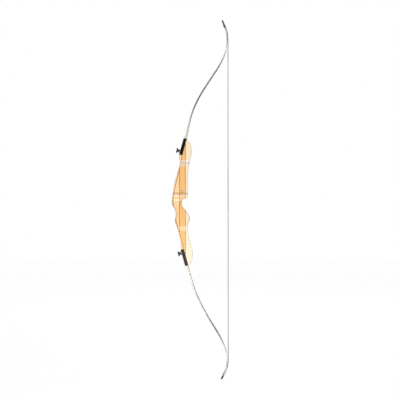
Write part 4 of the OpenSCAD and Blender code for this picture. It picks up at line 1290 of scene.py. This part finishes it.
class BOW_OT_limbs(bpy.types.Operator):
    """Models the limbs' laminations and the tip overlays"""
    bl_idname = "bow.limbs"
    bl_label = "Limbs"

    def execute(self, context):
        edge = context.scene.bow_limbs.edge_radius / MM
        for side, limb in LIMBS.items():
            whole = limb_stations(limb, -SEAT_LENGTH)
            butt = limb_stations(limb, -SEAT_LENGTH, WEDGE_LENGTH)
            tip = limb_stations(limb, limb.length - OVERLAY_LENGTH)
            half = limb.half_thick

            def inner(s):
                return half(s) - GLASS_THICK

            for name, stations, belly, back, rounds, finish, slot, nodes in (
                    ("limb_core_strip", whole, inner, lambda s: -inner(s), (0, 0), "limb_wood", "limb_maple",
                     ("butt_core", "limb_core")),
                    ("belly_glass_strip", whole, half, inner, (edge, 0), "glass", "glass_facing",
                     ("butt_belly_glass", "limb_belly_glass")),
                    ("back_glass_strip", whole, lambda s: -inner(s), lambda s: -half(s), (0, edge), "glass",
                     "glass_facing", ("butt_back_glass", "limb_back_glass")),
                    ("butt_wedge_strip", butt, lambda s: -half(s), lambda s: -half(s) - wedge_depth(s),
                     (0, edge * 0.9), "limb_wood", "limb_maple", ("butt_wedge",)),
                    ("tip_overlay_shaped", tip, lambda s: -half(s),
                     lambda s: -half(s) - overlay_depth(limb, s), (0, edge * 0.9), "tip_horn",
                     "black_plastic", ("tip_overlay",))):
                piece = strip(f"{side}_{name}", limb, stations, belly, back, *rounds)
                if stations is not butt:
                    trim_tip(piece, limb)
                    carve(piece, nock_tools(limb))
                if stations is not tip:
                    carve(piece, butt_tools(limb))
                coat(smooth(outward(piece)), material(context, finish))
                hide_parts(*[f"{side}_{node}" for node in nodes])
                if stations is tip:
                    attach(piece, side + "_limb")
                else:
                    bend_at_root(piece, limb)
        return {"FINISHED"}


class BOW_OT_sleeves(bpy.types.Operator):
    """Models the black sleeves round the limb butts"""
    bl_idname = "bow.sleeves"
    bl_label = "Sleeves"

    def execute(self, context):
        for side, limb in LIMBS.items():
            sleeve = box(side + "_butt_sleeve_shaped", SEAT_LENGTH, 2 * RISER_HALF_WIDTH, SLEEVE_DEPTH)
            apply_modifier(sleeve, "BEVEL", width=SLEEVE_ROUND * MM, segments=4, limit_method="ANGLE")
            carve(sleeve, box("hollow", SEAT_LENGTH * 2, 2 * (RISER_HALF_WIDTH - SLEEVE_THICK),
                              SLEEVE_DEPTH - 2 * SLEEVE_THICK))
            put(sleeve, limb.out_of_seat(SEAT_LENGTH / 2) @ shift(0, 0, SLEEVE_DEPTH / 2))
            carve(sleeve, butt_tools(limb))
            coat(smooth(outward(sleeve)), material(context, side + "_sleeve_black"))
            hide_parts(side + "_butt_sleeve")
            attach(sleeve, "riser")
        return {"FINISHED"}


class BOW_OT_bolts(bpy.types.Operator):
    """Models the limb bolts: fluted knobs, threaded studs and washers"""
    bl_idname = "bow.bolts"
    bl_label = "Limb bolts"

    foot_z = SLEEVE_DEPTH + WASHER_THICK

    def knob(self, settings):
        radius = settings.knob_radius / MM
        foot, waist, disc, height = 2.4, KNOB_WAIST, KNOB_DISC_Z, KNOB_HEIGHT
        rise = (disc - foot) / 2
        profile = [(KNOB_FOOT - 0.8, 0), (KNOB_FOOT, 0.8), (KNOB_FOOT, 2.0), (KNOB_FOOT - 0.2, foot)]
        profile += [(KNOB_FOOT - (KNOB_FOOT - waist) * math.sin(a), foot + rise * (1 - math.cos(a)))
                    for a in spaced(0.15, math.pi / 2, 8)]
        profile += [(waist + (radius - 1.8 - waist) * (1 - math.cos(a)), foot + rise * (1 + math.sin(a)))
                    for a in spaced(0.2, 1.25, 7)]
        profile += [(radius - 0.8, disc), (radius - 0.2, disc + 0.3), (radius, disc + 0.8),
                    (radius, height - 0.8), (radius - 0.25, height - 0.25), (radius - 0.8, height),
                    (4.4, height), (3.9, height - 0.6), (0.5, height - 0.6)]
        knob = turned("knob", profile, 60)
        tools = [drill("socket", KNOB_SOCKET, (0, 0, -0.005), (0, 0, 10.5 * MM))]
        for i in range(settings.knob_flutes):
            a = 2 * math.pi * i / settings.knob_flutes
            centre = Vector((math.cos(a), math.sin(a), 0)) * (radius + 1.1) * MM
            tools.append(drill("flute", FLUTE_RADIUS, centre + Vector((0, 0, (disc - 1) * MM)),
                               centre + Vector((0, 0, 0.02)), 24))
        carve(knob, join("knob_tools", *tools))
        edit(knob, lambda: bpy.ops.mesh.remove_doubles(threshold=1e-5))
        apply_modifier(knob, "BEVEL", width=0.25 * MM, segments=2, limit_method="ANGLE",
                       angle_limit=math.radians(40))
        return knob

    def stud(self):
        profile = [(STUD_ROOT - 0.4, -STUD_GRIP), (STUD_ROOT, 0.4 - STUD_GRIP)]
        z = 0.8 - STUD_GRIP
        while z < self.foot_z - 4:
            profile += [(STUD_RADIUS, z + STUD_PITCH * 0.35), (STUD_RADIUS, z + STUD_PITCH * 0.5),
                        (STUD_ROOT, z + STUD_PITCH)]
            z += STUD_PITCH
        profile += [(STUD_RADIUS, z + 0.6), (STUD_RADIUS, self.foot_z + 10.5)]
        return turned("stud", profile, 40)

    def washer(self):
        rim, edge = WASHER_RADIUS - 0.2, WASHER_THICK - 0.2
        profile = [(WASHER_HOLE, 0), (rim, 0), (WASHER_RADIUS, 0.2), (WASHER_RADIUS, edge),
                   (rim, WASHER_THICK), (WASHER_HOLE + 0.2, WASHER_THICK), (WASHER_HOLE, edge)]
        return turned("washer", profile, 56, ring=True)

    def execute(self, context):
        settings = context.scene.bow_fittings
        for side, limb in LIMBS.items():
            out = limb.out_of_seat(BOLT_U)
            knob = put(self.knob(settings), out @ shift(0, 0, self.foot_z))
            stud = put(self.stud(), out)
            washer = put(self.washer(), out @ shift(0, 0, SLEEVE_DEPTH))
            for piece, what, finish, slot, body in (
                    (knob, "knob", "knob_black", "black_plastic", "_bolt"),
                    (stud, "stud", "steel", "steel", "_bolt"),
                    (washer, "washer", "steel", "steel", "_bolt_washer")):
                piece.name = f"{side}_{what}_turned"
                coat(smooth(outward(piece), 28), material(context, finish))
                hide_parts(f"{side}_{what}")
                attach(piece, side + body)
        return {"FINISHED"}


class BOW_OT_string(bpy.types.Operator):
    """Models the twisted string, its loops and its servings"""
    bl_idname = "bow.string"
    bl_label = "String"

    def execute(self, context):
        settings = context.scene.bow_string
        step = settings.thread_pitch / MM / 2
        turn = 2 * math.pi * STRING_STEP / (settings.twist_pitch / MM)
        outer, loop_radius = (STRING_RADIUS + SERVING_THICK) * SERVING_FIT * MM, LOOP_RADIUS * MM
        for side, limb in LIMBS.items():
            body, length = side + "_string_half", half_length(limb)
            strands = lobed("strands", STRING_RADIUS * MM, settings.strands, STRAND_GROOVE,
                            settings.strands * 3)
            cord = swept(side + "_string_twisted", string_route(limb, 0, length, STRING_STEP), strands, turn)
            coat(keep_rest(cord), material(context, "string_fibre"))
            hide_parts(side + "_string")
            straighten_when_drawn(cord, limb)

            route = string_route(limb, 0, END_SERVING, step)
            end = wound(side + "_end_serving_wound", route, outer,
                        [min(1.0, TAPER_START + TAPER_STEP * i) for i in range(len(route))])
            route = string_route(limb, length - CENTRE_SERVING, length, step)
            route, sizes = with_dome(route, outer, DOME_RINGS[side])
            centre = wound(side + "_centre_serving_wound", route, outer, sizes)
            line = loop_route(limb)
            legs = join(side + "_legs_wound", *[
                wound(side + name, fine_steps(part, step * MM), loop_radius)
                for name, part in (("_leg_wound", line[:LEG_POINTS]), ("_other_leg", line[-LEG_POINTS:]))])
            eye = wound(side + "_eye_wound", fine_steps(line[LEG_POINTS - 1:1 - LEG_POINTS], step * MM),
                        loop_radius)
            for piece, node, finish in (
                    (end, "_end_serving", "serving_thread"), (centre, "_centre_serving", "serving_thread"),
                    (legs, "_string_legs", "loop_thread"), (eye, "_string_eye", "loop_thread")):
                coat(keep_rest(piece), material(context, finish))
                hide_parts(side + node)
            straighten_when_drawn(end, limb)
            straighten_when_drawn(legs, limb)
            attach(centre, body)
            by_nock(limb, EYE_STAYS, loop_front(limb), 0)
            by_nock(limb, EYE_SWINGS, loop_front(limb), 0)
            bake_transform(eye)
        return {"FINISHED"}


class BOW_PT_panel(bpy.types.Panel):
    """The bow's pieces and their settings"""
    bl_label = "Recurve Bow"
    bl_idname = "BOW_PT_panel"
    bl_space_type = "VIEW_3D"
    bl_region_type = "UI"
    bl_category = "Bow"

    def draw(self, context):
        layout = self.layout
        for group in ("bow_riser", "bow_limbs", "bow_fittings", "bow_string", "bow_stage"):
            settings = getattr(context.scene, group)
            column = layout.box()
            for name in settings.bl_rna.properties.keys():
                if name not in ("rna_type", "name"):
                    column.prop(settings, name)
        for operator in OPERATORS:
            layout.operator(operator.bl_idname)


SETTINGS = {
    "bow_riser": BowRiserSettings,
    "bow_limbs": BowLimbSettings,
    "bow_fittings": BowFittingSettings,
    "bow_string": BowStringSettings,
    "bow_stage": BowStageSettings,
}
OPERATORS = (BOW_OT_stage, BOW_OT_string, BOW_OT_riser, BOW_OT_bushings, BOW_OT_limbs, BOW_OT_sleeves,
             BOW_OT_bolts)


def register():
    for cls in (*SETTINGS.values(), *OPERATORS, BOW_PT_panel):
        bpy.utils.register_class(cls)
    for name, cls in SETTINGS.items():
        setattr(bpy.types.Scene, name, PointerProperty(type=cls))


def unregister():
    for name in SETTINGS:
        delattr(bpy.types.Scene, name)
    for cls in (BOW_PT_panel, *reversed(OPERATORS), *reversed(SETTINGS.values())):
        bpy.utils.unregister_class(cls)


def main():
    register()
    for operator in OPERATORS:
        group, name = operator.bl_idname.split(".")
        getattr(getattr(bpy.ops, group), name)()
    deselect()


if __name__ == "__main__":
    main()
